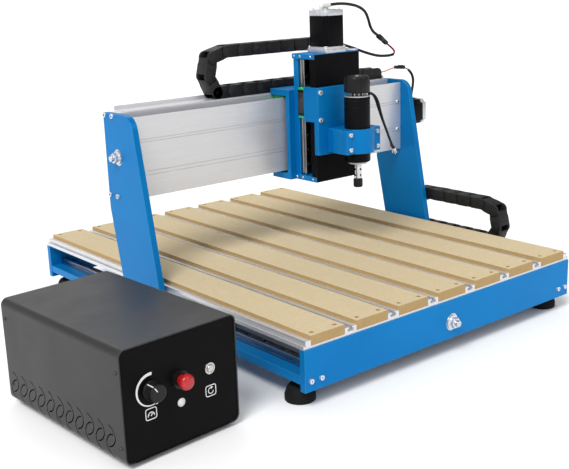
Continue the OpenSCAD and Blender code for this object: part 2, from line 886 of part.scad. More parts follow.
module x_carriage_plate() placed() {
    x0 = carriage_x - carriage_w / 2;
    x1 = carriage_x + carriage_w / 2;
    reach = channel_y + channel_w - 1;
    y0 = carriage_y - carriage_t;
    color(blue) {
        span(x0, x1, y0, carriage_y, low_flange_z, top_flange_z + flange_t);
        span(x0, x1, carriage_y - 0.1, reach, top_flange_z, top_flange_z + flange_t);
        span(x0, x1, carriage_y - 0.1, reach, low_flange_z, low_flange_z + flange_t);
    }
}

module x_blocks() placed() {
    color(steel) for (x = [-1, 1]) translate([carriage_x + x * 34, cross_rail_y, 0]) {
        translate([0, 0, rail_floor]) linear_block();
        translate([0, 0, rail_ceiling]) mirror([0, 0, 1]) linear_block();
    }
}

module x_ball_nut() placed() {
    x = carriage_x - 21;
    w = 40;
    z1 = cross_z + 24;
    reach = channel_y + channel_w - 1;
    translate([x - 10, gantry_y, cross_z]) rotate([0, 90, 0]) rotate(90) ball_nut();
    color(blue) {
        difference() {
            span(x, x + w - 9, gantry_y - 20, rear_arm_y + 0.1, cross_z - 20, cross_z + 20);
            bar_x(x - 1, x + w, gantry_y, cross_z, nut_r + fit);
        }
        span(x - 10, x + w + 10, rear_arm_y, rear_arm_y + rear_arm_t, low_flange_z, z1);
        span(x - 10, x + w + 10, reach, rear_arm_y + 0.1, low_flange_z, low_flange_z + flange_t);
    }
}

module z_back_plate() placed() {
    color(blue) span(carriage_x - back_w / 2, carriage_x + back_w / 2, back_y, back_y + back_t,
        frame_z + frame_plate_t, frame_top_z - frame_plate_t);
}

module z_end_plates() placed() {
    z = frame_top_z - frame_plate_t;
    rear = back_y + back_t;
    color(blue) difference() {
        span(frame_left, frame_right, frame_y, rear, z, frame_top_z);
        bar_z(carriage_x, z_screw_y, z - 1, frame_top_z + 1, pilot_r + fit);
    }
    color(steel) span(carriage_x + 40, cross_move_x, rear, cross_chain_y + chain_w,
        cross_chain_z + chain_out_r + chain_r - gap - 2.5, cross_chain_z + chain_out_r + chain_r - gap);
    color(blue) difference() {
        span(frame_left, frame_right, frame_y, back_y + back_t, frame_z, frame_z + frame_plate_t);
        bar_z(carriage_x, z_screw_y, frame_z - 1, frame_z + frame_plate_t + 1, bearing_r + fit);
    }
}

module z_rails() placed() {
    color(steel) for (s = [-1, 1])
        translate([carriage_x + s * z_rail_off, back_y, z_rail_z0]) linear_extrude(z_rail_z1 - z_rail_z0)
            mirror([0, 1]) rail_section();
}

module z_cover() placed() {
    z0 = frame_z + 1;
    z1 = frame_top_z - 1;
    inner0 = frame_z + frame_plate_t + gap;
    inner1 = frame_top_z - frame_plate_t - gap;
    color(black) {
        span(frame_left, frame_right, cover_y, frame_y, z0, z1);
        for (x = [frame_left, frame_right - cover_t])
            span(x, x + cover_t, frame_y - 0.1, cover_y + cover_return, inner0, inner1);
    }
}

module z_motor() placed() {
    translate([carriage_x, z_screw_y, frame_top_z]) {
        stepper();
        color("white") translate([-8, 1, motor_len]) cube([20, 12, 12]);
    }
}

module z_bearings() placed() {
    z = frame_top_z - 55;
    color(black) difference() {
        span(carriage_x - 25, carriage_x + 25, z_screw_y - 24, back_y, z, z + 14);
        bar_z(carriage_x, z_screw_y, z - 1, z + 15, bearing_r + fit);
    }
    color(steel) {
        translate([carriage_x, z_screw_y, z + 2]) bearing(journal_r);
        translate([carriage_x, z_screw_y, frame_z]) bearing(journal_r);
    }
}

module z_screw() placed() {
    z = frame_top_z - 55;
    translate([carriage_x, z_screw_y, 0])
        ballscrew(frame_z + 1, frame_z + frame_plate_t + 2, z - 2, z + 28, frame_top_z - 2);
}

// ---- Z slide ----

module z_blocks() placed() {
    color(steel) for (s = [-1, 1])
        translate([carriage_x + s * z_rail_off, back_y, block_z0 + block_len / 2])
            rotate([90, 0, 0]) rotate([0, 0, 90]) linear_block();
}

module z_saddle() placed() {
    foot_y0 = block_face_y - saddle_foot_t;
    color(blue) translate([carriage_x, 0, 0]) {
        span(-saddle_w / 2, saddle_w / 2, saddle_y, saddle_y + saddle_t, saddle_z0, saddle_z1);
        both_sides() {
            span(saddle_w / 2 - cheek_t, saddle_w / 2, saddle_y + saddle_t - 0.1, block_face_y,
                cheek_z0, saddle_z1);
            span(nut_block_w / 2, saddle_w / 2 - cheek_t + 0.1, foot_y0, block_face_y,
                cheek_z0, saddle_z1);
        }
    }
}

module z_ball_nut() placed() {
    translate([carriage_x, z_screw_y, nut_block_z0 - 10]) ball_nut();
    color(blue) difference() {
        span(carriage_x - nut_block_w / 2, carriage_x + nut_block_w / 2, z_screw_y - 20,
            z_screw_y + 20, nut_block_z0, nut_block_z1);
        bar_z(carriage_x, z_screw_y, nut_block_z0 - 1, nut_block_z1 + 1, nut_r + fit);
    }
}

module clamp_screw_spots() {
    for (x = [-1, 1]) for (z = [9, clamp_h - 9])
        translate([carriage_x + x * (clamp_w / 2 - 9), clamp_ear_y, clamp_z0 + z]) children();
}

module spindle_clamp() placed() {
    x0 = carriage_x - clamp_w / 2;
    x1 = carriage_x + clamp_w / 2;
    z1 = clamp_z0 + clamp_h;
    color(blue) difference() {
        union() {
            span(x0, x1, spindle_y + clamp_split / 2, saddle_y - 20, clamp_z0, z1);
            span(x0 + 4, x1 - 4, saddle_y - 20.1, saddle_y, clamp_z0, z1);
        }
        bar_z(carriage_x, spindle_y, clamp_z0 - 1, z1 + 1, spindle_r + fit);
        clamp_screw_spots() rotate([-90, 0, 0]) cylinder(r = 2.55, h = 44);
    }
    color(blue) difference() {
        union() {
            span(x0, x1, clamp_ear_y, spindle_y - clamp_split / 2, clamp_z0, z1);
            intersection() {
                bar_z(carriage_x, spindle_y, clamp_z0, z1, spindle_r + strap_wall);
                span(x0, x1, spindle_y - 60, spindle_y - clamp_split / 2, clamp_z0, z1);
            }
        }
        bar_z(carriage_x, spindle_y, clamp_z0 - 1, z1 + 1, spindle_r + fit);
        clamp_screw_spots() rotate([-90, 0, 0]) cylinder(r = 2.8, h = 44);
    }
    color(silver) clamp_screw_spots() rotate([90, 0, 0]) cap_screw(2.5, 34);
    color(silver) for (x = [-1, 1]) for (z = [saddle_z1 - 9, cheek_z0 + 5])
        translate([carriage_x + x * (saddle_w / 2 - 6), saddle_y, z]) rotate([90, 0, 0])
            difference() {
                cylinder(r = 4.4, h = 3.6);
                translate([0, 0, 1.6]) cylinder(r = 2.3, h = 3, $fn = 6);
            }
}

module spindle_body() placed() {
    wall = 4;
    color(black) difference() {
        bar_z(carriage_x, spindle_y, spindle_z, spindle_top, spindle_r);
        bar_z(carriage_x, spindle_y, spindle_z + 16, spindle_top - 10, spindle_r - wall);
        bar_z(carriage_x, spindle_y, spindle_z - 1, spindle_z + 17, shaft_out + fit);
    }
    color(silver) difference() {
        bar_z(carriage_x, spindle_y, spindle_z - nose_t, spindle_z, 20);
        bar_z(carriage_x, spindle_y, spindle_z - nose_t - 1, spindle_z + 1, shaft_out + fit);
    }
}

module spindle_cap() placed() {
    z0 = spindle_top + cap_gap;
    color(silver) bar_z(carriage_x, spindle_y, spindle_top, spindle_top + 2, spindle_r - 0.5);
    color(steel) bar_z(carriage_x, spindle_y, spindle_top + 2, z0, 13);
    color(black) translate([carriage_x, spindle_y, z0]) difference() {
        union() {
            cylinder(r = spindle_r - 1, h = cap_h);
            for (i = [0:cap_ribs - 1]) rotate(360 / cap_ribs * i)
                translate([spindle_r - 3, -1.5, 0]) cube([3, 3, cap_h]);
        }
        for (i = [0:7]) rotate(45 * i + 20)
            translate([7, -2.5, cap_h - 5]) cube([spindle_r - 11, 5, 6]);
    }
    for (lead = [spindle_lead_a, spindle_lead_b]) {
        out = unit([lead[0][0] - carriage_x, lead[0][1] - spindle_y, 0]);
        color(silver) translate([carriage_x, spindle_y, spindle_top + 2] + post_reach * out)
            cylinder(r = 2.2, h = cap_gap - 3);
    }
}

// Fork terminals at the free ends of the leads
module spindle_terminals() placed() {
    color(silver) for (lead = [spindle_lead_a, spindle_lead_b]) {
        end = lead[len(lead) - 1];
        d = dir_at(lead, len(lead) - 1);
        bar_between(end, end + 0.45 * terminal_l * d, spindle_lead_r);
        translate(end) rotate([0, acos(d[2]), atan2(d[1], d[0])]) difference() {
            translate([-0.5, -3, 0.4 * terminal_l]) cube([1, 6, 0.6 * terminal_l]);
            translate([-1, -1.4, 0.65 * terminal_l]) cube([2, 2.8, terminal_l]);
        }
    }
}

module spindle_shaft() placed() {
    color(silver) difference() {
        union() {
            bar_z(carriage_x, spindle_y, shaft_low, spindle_z + 20, shaft_out);
            bar_z(carriage_x, spindle_y, spindle_z + 19, spindle_top - 16, spindle_r - 8);
            bar_z(carriage_x, spindle_y, collet_nut_z + 1, shaft_low + 1, collet_r);
        }
        bar_z(carriage_x, spindle_y, collet_nut_z, shaft_low + 15, collet_d / 2);
        bar_y(carriage_x, spindle_y - 20, spindle_y + 20, shaft_low + 20, 2.2);
    }
}

module collet_nut() placed() {
    color(black) difference() {
        intersection() {
            bar_z(carriage_x, spindle_y, collet_nut_z, shaft_low, collet_nut_r);
            translate([carriage_x, spindle_y, collet_nut_z])
                cylinder(r = collet_nut_r * 1.1, h = shaft_low - collet_nut_z, $fn = 6);
        }
        bar_z(carriage_x, spindle_y, collet_nut_z - 1, shaft_low + 1, collet_r + fit);
    }
}

// ---- Control box ----

module on_box() {
    translate([-box_left, box_back, box_foot_h - floor_gap]) rotate([0, 0, box_yaw]) children();
}

// Rounded rectangle from (0, 0) inset all round by t, drawn in (X, Z)
module box_outline(t) {
    r = box_r - t;
    translate([box_r, t]) square([box_w - 2 * box_r, box_h - 2 * t]);
    translate([t, box_r]) square([box_w - 2 * t, box_h - 2 * box_r]);
    for (x = [box_r, box_w - box_r]) for (z = [box_r, box_h - box_r])
        translate([x, z]) circle(r = r);
}

module box_shell() placed() on_box() {
    color([0.25, 0.25, 0.26]) difference() {
        along_y(0, box_d) difference() {
            box_outline(0);
            box_outline(box_wall);
            translate([box_r + 4, -1]) square([box_w - 2 * box_r - 8, box_wall + 2]);
        }
        for (i = [0:vent_count - 1]) translate([-1, vent_first + i * vent_pitch, vent_row])
            rotate([0, 90, 0]) rotate(90) vent_slot();
    }
    color([0.2, 0.2, 0.2]) along_y(box_d - 5, box_d - 2) box_outline(box_wall + 0.05);
}

// Curved cooling slot, two thin strokes that mirror each other through the middle
module vent_slot() {
    stroke = [[3, 23.5], [-5.5, 19.5], [-11, 13], [-12, 4.5], [-7, -4], [-0.5, -9.5], [6, -11.5]];
    linear_extrude(box_wall + 2) for (turn = [0, 180]) rotate(turn)
        for (i = [0:len(stroke) - 2]) hull() {
            translate(stroke[i]) circle(r = vent_r, $fn = 12);
            translate(stroke[i + 1]) circle(r = vent_r, $fn = 12);
        }
}

module box_front_panel() placed() on_box() {
    color(black) difference() {
        along_y(panel_in, panel_in + panel_t) box_outline(box_wall + 0.05);
        bar_y(dial_col, panel_in - 1, panel_in + panel_t + 1, control_row, 4 + gap);
        bar_y(stop_col, panel_in - 1, panel_in + panel_t + 1, control_row, 8 + gap);
        bar_y(reset_col, panel_in - 1, panel_in + panel_t + 1, control_row, 6 + gap);
    }
    color(black) difference() {
        bar_y(stop_col, panel_in - 5, panel_in, control_row, 14);
        bar_y(stop_col, panel_in - 6, panel_in + 1, control_row, 8 + gap);
    }
    color(silver) difference() {
        bar_y(reset_col, panel_in - 2.5, panel_in, control_row, 9);
        bar_y(reset_col, panel_in - 3.5, panel_in + 1, control_row, 6 + gap);
    }
    color(steel) for (spot = [[dial_col, 12], [stop_col, 15], [reset_col, 11]]) difference() {
        bar_y(spot[0], panel_in + panel_t, panel_in + panel_t + 24, control_row, spot[1]);
        bar_y(spot[0], panel_in + panel_t - 1, panel_in + panel_t + 12, control_row,
            spot[0] == dial_col ? 4 + gap : spot[0] == stop_col ? 8 + gap : 6 + gap);
    }
    color("white") bar_y(stop_col, panel_in - 1.5, panel_in, icon_row, 5);
}

module box_base() placed() on_box() {
    color([0.3, 0.3, 0.3]) {
        span(box_r + 4.1, box_w - box_r - 4.1, 0.5, box_d - 0.5, 0, box_wall);
        for (x = [board_x0 + 6, board_x0 + board_w - 6]) for (y = [board_y0 + 6, board_y0 + board_d - 6])
            translate([x, y, box_wall - 0.1]) cylinder(r = 3.5, h = standoff + 0.1);
    }
}

module power_supply() placed() on_box() {
    color(silver) difference() {
        span(supply_x0, supply_x0 + supply_w, supply_y0, supply_y0 + supply_d, box_wall, box_wall + supply_h);
        for (i = [0:9]) for (y = [supply_y0 + 18, supply_y0 + 52])
            span(supply_x0 + 14 + i * 13, supply_x0 + 20 + i * 13, y, y + 26,
                box_wall + supply_h - 1.5, box_wall + supply_h + 1);
        span(supply_x0 + 8, supply_x0 + supply_w - 8, supply_y0 - 1, supply_y0 + 10,
            box_wall + 12, box_wall + supply_h + 1);
    }
}

module driver_board() placed() on_box() {
    z = box_wall + standoff;
    color([0.1, 0.4, 0.2]) span(board_x0, board_x0 + board_w, board_y0, board_y0 + board_d, z, z + 1.6);
    color(silver) for (i = [0:3]) for (fin = [0:5])
        span(board_x0 + 16 + i * 34 + fin * 4, board_x0 + 18 + i * 34 + fin * 4, board_y0 + 40,
            board_y0 + 68, z + 1.6, z + 20);
    color([0.1, 0.5, 0.2]) for (i = [0:4])
        span(board_x0 + 12 + i * 28, board_x0 + 32 + i * 28, board_y0 + 4, board_y0 + 14, z + 1.6, z + 12);
}

module speed_knob() placed() on_box() {
    color(black) {
        difference() {
            union() {
                bar_y(dial_col, panel_in - 22, panel_in - 0.5, control_row, 15);
                bar_y(dial_col, panel_in - 0.6, panel_in + panel_t + 10, control_row, 4);
            }
            for (i = [0:17]) translate([dial_col, panel_in - 12, control_row]) rotate([0, 20 * i, 0])
                translate([15, 0, 0]) rotate([90, 0, 0]) cylinder(r = 0.8, h = 22, center = true, $fn = 16);
        }
    }
}

module stop_button() placed() on_box() {
    color("red") bar_y(stop_col, panel_in - 26, panel_in - 14, control_row, stop_r);
    color("red") bar_y(stop_col, panel_in - 14.1, panel_in + 8, control_row, 8);
}

module reset_button() placed() on_box() {
    color(silver) bar_y(reset_col, panel_in - 5, panel_in + 8, control_row, 6);
}

front_plate();
rear_plate();
side_beams();
table_profiles();
table_slats();
base_screws();
rubber_feet();
y_rails();
y_bearings();
y_motor();
y_chain_tray();
y_chain_lower();
y_screw();
y_chain_bend();
gantry_plate_left();
gantry_plate_right();
gantry_beam();
gantry_screws();
gantry_crossmember();
y_blocks();
y_ball_nut();
x_rails();
x_bearings();
x_motor();
x_motor_lead();
x_chain_tray();
x_chain_lower();
y_chain_upper();
x_screw();
x_chain_bend();
x_carriage_plate();
x_blocks();
x_ball_nut();
z_back_plate();
z_end_plates();
z_rails();
z_cover();
z_motor();
z_bearings();
z_motor_lead();
x_chain_upper();
z_screw();
z_blocks();
z_saddle();
z_ball_nut();
spindle_clamp();
spindle_body();
spindle_cap();
spindle_leads();
spindle_terminals();
spindle_shaft();
collet_nut();
box_shell();
box_front_panel();
box_base();
power_supply();
driver_board();
speed_knob();
stop_button();
reset_button();
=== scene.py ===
"""Looks of the gantry router. Shapes are drawn in millimetres in the CAD's working frame: X = 0 on
the machine's centre line, Y = 0 on the front plate's outer face, Z = 0 on its bottom edge."""

import math

import bmesh
import bpy
from mathutils import Matrix, Vector


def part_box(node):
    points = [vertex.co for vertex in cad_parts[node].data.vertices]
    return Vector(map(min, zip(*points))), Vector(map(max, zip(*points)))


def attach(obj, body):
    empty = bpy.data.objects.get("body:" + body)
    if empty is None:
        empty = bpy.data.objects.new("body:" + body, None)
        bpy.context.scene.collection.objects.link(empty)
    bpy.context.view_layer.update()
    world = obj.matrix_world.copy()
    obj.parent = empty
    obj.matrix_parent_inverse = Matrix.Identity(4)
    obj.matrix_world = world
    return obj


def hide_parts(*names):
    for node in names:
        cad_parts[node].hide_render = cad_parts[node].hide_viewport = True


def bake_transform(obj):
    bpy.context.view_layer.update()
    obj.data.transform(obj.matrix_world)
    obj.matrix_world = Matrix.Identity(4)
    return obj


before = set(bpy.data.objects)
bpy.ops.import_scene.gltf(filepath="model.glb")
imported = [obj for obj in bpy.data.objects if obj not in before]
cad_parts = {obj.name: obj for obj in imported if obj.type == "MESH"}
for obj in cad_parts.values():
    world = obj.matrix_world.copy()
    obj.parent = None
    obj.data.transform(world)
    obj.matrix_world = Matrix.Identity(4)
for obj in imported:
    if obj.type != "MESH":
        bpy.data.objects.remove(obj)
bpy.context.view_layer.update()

plate_low, plate_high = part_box("front_plate")
HOME = Vector(((plate_low.x + plate_high.x) / 2, plate_low.y, plate_low.z))
WORK = Matrix.Translation(HOME) @ Matrix.Scale(0.001, 4)


def at(x, y, z):
    return WORK @ Vector((x, y, z))


def moved(x, y, z):
    return Matrix.Translation((x, y, z))


def turned(degrees, axis="Z"):
    return Matrix.Rotation(math.radians(degrees), 4, axis)


def polar(radius, degrees):
    """Point on a circle about the origin."""
    turn = math.radians(degrees)
    return radius * math.cos(turn), radius * math.sin(turn)


def hexagon(radius):
    return [polar(radius, 60 * i) for i in range(6)]


def add_object(name, data):
    made = bpy.data.objects.new(name, data)
    bpy.context.scene.collection.objects.link(made)
    return made


# ---- Camera ----

CAMERA_AT = (-1259.5, -1075.9, 639.8)
CAMERA_LENS = 61.02
YAW, PITCH, ROLL = 0.684, 0.262, -0.033


def add_camera():
    level = math.cos(PITCH)
    forward = Vector((math.sin(YAW) * level, math.cos(YAW) * level, -math.sin(PITCH)))
    right = Vector((math.cos(YAW), -math.sin(YAW), 0))
    up = right.cross(forward)
    across = right * math.cos(ROLL) + up * math.sin(ROLL)
    above = up * math.cos(ROLL) - right * math.sin(ROLL)
    data = bpy.data.cameras.new("camera")
    data.lens = CAMERA_LENS
    data.clip_end = 50
    camera = add_object("camera", data)
    turn = Matrix((across, above, -forward)).transposed().to_4x4()
    camera.matrix_world = Matrix.Translation(at(*CAMERA_AT)) @ turn
    bpy.context.scene.camera = camera


add_camera()


# ---- Materials ----

COAT_ROUGHNESS = 0.15
ROUGH_VARY = 0.06
BUMP_HEIGHT = 0.0002


def rgb(*display):
    """Linear colour from three display values of 0 to 255."""
    return tuple(v / 12.92 if v <= 0.04045 else ((v + 0.055) / 1.055) ** 2.4
                 for v in (level / 255 for level in display)) + (1,)


def add_node(tree, kind, inputs=None, **settings):
    """Shader node with its settings, and its inputs given as values or as sockets to link."""
    made = tree.nodes.new(kind)
    for key, value in settings.items():
        setattr(made, key, value)
    for key, value in (inputs or {}).items():
        if isinstance(value, bpy.types.NodeSocket):
            tree.links.new(value, made.inputs[key])
        else:
            made.inputs[key].default_value = value
    return made


def ramp(tree, value, reads, gives=(0, 1)):
    """Maps one span of values to another."""
    return add_node(tree, "ShaderNodeMapRange", {
        "Value": value, "From Min": reads[0], "From Max": reads[1],
        "To Min": gives[0], "To Max": gives[1]}).outputs["Result"]


def mix(tree, share, first, second, **settings):
    """Colour between two colours; the Mix node's colour sockets have no names of their own."""
    return add_node(tree, "ShaderNodeMix", {0: share, 6: first, 7: second}, data_type="RGBA",
                    **settings).outputs[2]


def finish(name, light, dark, rough, metal=0.0, grain=40.0, stretch=(1, 1, 1), bump=0.1,
           fine=1500.0, edge_highlight=None, edge=0.0004, coat=0.0, detail=4.0, gloss=0.5):
    """Procedural material: two shades mixed by a stretched noise, uneven roughness, fine bump,
    rounded edges, and a painted highlight along them in a paler colour."""
    mat = bpy.data.materials.new(name)
    mat.use_nodes = True
    tree = mat.node_tree
    shader = tree.nodes["Principled BSDF"]
    for key, value in (("Metallic", metal), ("Coat Weight", coat),
                       ("Coat Roughness", COAT_ROUGHNESS), ("Specular IOR Level", gloss)):
        shader.inputs[key].default_value = value
    coords = add_node(tree, "ShaderNodeTexCoord").outputs["Object"]
    place = add_node(tree, "ShaderNodeMapping",
                     {"Vector": coords, "Scale": stretch}).outputs["Vector"]
    coarse = add_node(tree, "ShaderNodeTexNoise",
                      {"Vector": place, "Scale": grain, "Detail": detail, "Roughness": 0.6})
    share = ramp(tree, coarse.outputs["Fac"], (0.3, 0.7))
    colour = mix(tree, share, dark, light)
    roughness = ramp(tree, share, (0, 1), (rough - ROUGH_VARY, rough + ROUGH_VARY))
    speck = add_node(tree, "ShaderNodeTexNoise", {"Vector": place, "Scale": fine, "Detail": 2.0})
    relief = add_node(tree, "ShaderNodeBump", {"Height": speck.outputs["Fac"],
                                               "Strength": bump, "Distance": BUMP_HEIGHT})
    if edge:
        rounded_normal = add_node(tree, "ShaderNodeBevel", {"Radius": edge},
                                  samples=4).outputs["Normal"]
        tree.links.new(rounded_normal, relief.inputs["Normal"])
        # Painted highlight: the edge_highlight colour is mixed in where the bevelled normal turns
        # away from the face's own, so every rounded edge shows paler.
        if edge_highlight:
            normal = add_node(tree, "ShaderNodeNewGeometry").outputs["Normal"]
            agree = add_node(tree, "ShaderNodeVectorMath", {0: normal, 1: rounded_normal},
                             operation="DOT_PRODUCT").outputs["Value"]
            colour = mix(tree, ramp(tree, agree, (0.985, 0.85)), colour, edge_highlight)
    tree.links.new(roughness, shader.inputs["Roughness"])
    tree.links.new(colour, shader.inputs["Base Color"])
    tree.links.new(relief.outputs["Normal"], shader.inputs["Normal"])
    return mat


def board_finish():
    """Fibreboard: paler fibres on the faces, browner sawn edges."""
    # The edge_highlight here paints a paler highlight along the slats' edges.
    mat = finish("fibreboard", rgb(205, 188, 154), rgb(195, 177, 142), 0.75, grain=150, bump=0.25,
                 edge=0.0005, edge_highlight=rgb(226, 209, 172), detail=6, gloss=0.2)
    tree = mat.node_tree
    base = tree.nodes["Principled BSDF"].inputs["Base Color"]
    faces = base.links[0].from_socket
    normal = add_node(tree, "ShaderNodeNewGeometry").outputs["True Normal"]
    upright = add_node(tree, "ShaderNodeSeparateXYZ", {0: normal}).outputs["Z"]
    sawn = mix(tree, ramp(tree, upright, (0.8, 0.3)), faces, rgb(224, 206, 176),
               blend_type="MULTIPLY")
    tree.links.new(sawn, base)
    return mat


ALONG_X, ALONG_Y, ALONG_Z = (0.02, 1, 1), (1, 0.02, 1), (1, 1, 0.02)
# Paler blue painted along the blue plates' edges as a highlight.
BLUE_EDGE_HIGHLIGHT = rgb(84, 186, 240)
# Each edge_highlight colour below is a painted highlight along that material's rounded edges.
BLUE = finish("blue_anodised", rgb(3, 124, 192), rgb(1, 114, 182), 0.38, 0.3, grain=5,
              fine=2600, bump=0.06, edge_highlight=BLUE_EDGE_HIGHLIGHT, edge=0.0007, gloss=0.12)
SILVER_X = finish("aluminium_x", rgb(222, 222, 224), rgb(211, 211, 214), 0.38, 0.55, grain=900,
                  stretch=ALONG_X, bump=0.1, fine=1800, edge_highlight=rgb(245, 245, 247))
SILVER_Y = finish("aluminium_y", rgb(230, 231, 234), rgb(208, 210, 214), 0.36, 0.7, grain=900,
                  stretch=ALONG_Y, bump=0.1, fine=1800, edge_highlight=rgb(245, 245, 247))
RAIL_X, RAIL_Y = [
    finish(name, rgb(176, 178, 184), rgb(140, 142, 150), 0.22, 1.0, grain=1100, stretch=along,
           bump=0.08) for name, along in (("ground_steel_x", ALONG_X), ("ground_steel_y", ALONG_Y))]
RAIL_Z = finish("ground_steel_z", rgb(160, 158, 156), rgb(112, 110, 110), 0.24, 1.0, grain=1100,
                stretch=ALONG_Z, bump=0.08)
STEEL = finish("plated_steel", rgb(234, 235, 238), rgb(218, 220, 224), 0.26, 0.75, grain=150,
               bump=0.1, edge=0.0002)
DULL = finish("block_steel", rgb(96, 97, 100), rgb(66, 67, 70), 0.38, 0.9, grain=260, bump=0.12,
              edge_highlight=rgb(150, 151, 154), edge=0.0003)
CAST = finish("cast_aluminium", rgb(214, 216, 219), rgb(190, 192, 196), 0.42, 0.75, grain=120,
              bump=0.25, fine=2200, edge_highlight=rgb(240, 241, 243))
BRIGHT = finish("polished_shaft", rgb(225, 225, 226), rgb(190, 190, 192), 0.18, 1.0, grain=300,
                bump=0.05, edge=0.0002)
BOARD = board_finish()
CHAIN = finish("chain_nylon", rgb(30, 30, 31), rgb(21, 21, 22), 0.5, grain=90, bump=0.2,
               fine=3000, edge_highlight=rgb(62, 62, 64), edge=0.0004, gloss=0.3)
POWDER = finish("black_powder", rgb(15, 15, 17), rgb(9, 9, 11), 0.5, grain=30, bump=0.35,
                fine=2600, edge_highlight=rgb(40, 40, 43), gloss=0.05)
MOTOR = finish("motor_black", rgb(14, 14, 16), rgb(8, 8, 10), 0.36, 0.1, grain=1200,
               stretch=(0.05, 0.05, 1), bump=0.2, fine=2200, edge_highlight=rgb(40, 40, 43), gloss=0.06)
SPINDLE = finish("spindle_black", rgb(17, 17, 19), rgb(11, 11, 13), 0.38, 0.1, grain=900,
                 stretch=(0.1, 0.1, 1), bump=0.15, fine=2400, edge_highlight=rgb(50, 50, 54), gloss=0.08)
PLASTIC = finish("moulded_black", rgb(18, 18, 19), rgb(11, 11, 12), 0.36, grain=60, bump=0.15,
                 fine=3000, edge_highlight=rgb(52, 52, 54), edge=0.0003, gloss=0.3)
RUBBER = finish("foot_rubber", rgb(20, 20, 21), rgb(12, 12, 13), 0.75, grain=50, bump=0.4,
                fine=1800, edge=0.0006, gloss=0.2)
CABLE = finish("cable_sheath", rgb(17, 17, 18), rgb(11, 11, 12), 0.45, grain=80, bump=0.15,
               edge=0, gloss=0.3)
RED_CORE = finish("red_core", rgb(196, 30, 34), rgb(160, 20, 24), 0.4, grain=100, edge=0)
SHELL = finish("grey_powder", rgb(34, 34, 35), rgb(28, 28, 29), 0.42, 0.1, grain=12, bump=0.3,
               fine=2800, edge_highlight=rgb(84, 84, 87), edge=0.0006, gloss=0.5)
PANEL = finish("panel_black", rgb(17, 17, 18), rgb(11, 11, 12), 0.42, grain=14, bump=0.2,
               fine=2600, edge_highlight=rgb(44, 44, 47), edge=0.0004, gloss=0.05)
PRINT = finish("white_print", rgb(236, 236, 236), rgb(222, 222, 224), 0.5, grain=200, edge=0)
LAMP = finish("lamp_lens", rgb(228, 230, 234), rgb(190, 193, 198), 0.12, grain=260, bump=0.3,
              fine=900, coat=0.6, edge=0)
RED = finish("red_plastic", rgb(190, 24, 30), rgb(160, 14, 20), 0.32, grain=60, bump=0.1,
             coat=0.3, edge_highlight=rgb(220, 60, 60), edge=0.0004)
CHROME = finish("plated_button", rgb(214, 212, 206), rgb(186, 184, 178), 0.26, 1.0, grain=240,
                bump=0.12, edge=0.0003)
GREEN = finish("green_seal", rgb(30, 196, 112), rgb(16, 168, 92), 0.45, grain=120, bump=0.2,
               edge=0.0003)
CIRCUIT = finish("circuit_board", rgb(20, 110, 60), rgb(12, 84, 46), 0.4, grain=500, bump=0.3)
SOCKET = finish("white_connector", rgb(240, 240, 236), rgb(222, 222, 218), 0.4, grain=90,
                bump=0.15, edge=0.0003)
# Painted shade: a near-black material laid in sockets, recesses, holes and slits in place of the
# shade inside them.
RECESS_SHADE = finish("painted_recess_shade", rgb(14, 14, 15), rgb(8, 8, 9), 0.6, grain=90, edge=0, gloss=0.1)

# ---- Mesh building ----

SHARP = 38  # degrees between faces from which an edge is bevelled
SMOOTH = 36  # degrees between faces up to which they are shaded as one


def facing(origin, axis):
    """Places a shape drawn along +Z at origin, pointing along the axis."""
    turns = {
        "+z": Matrix.Identity(4),
        "-z": turned(180, "X"),
        "+x": turned(90, "Y"),
        "-x": turned(-90, "Y"),
        "+y": turned(-90, "X"),
        "-y": turned(90, "X"),
    }
    return Matrix.Translation(Vector(origin)) @ turns[axis]


def towards(a, b):
    """Places a shape drawn along +Z at a, pointing at b."""
    a, b = Vector(a), Vector(b)
    return Matrix.Translation(a) @ (b - a).to_track_quat("Z", "Y").to_matrix().to_4x4()


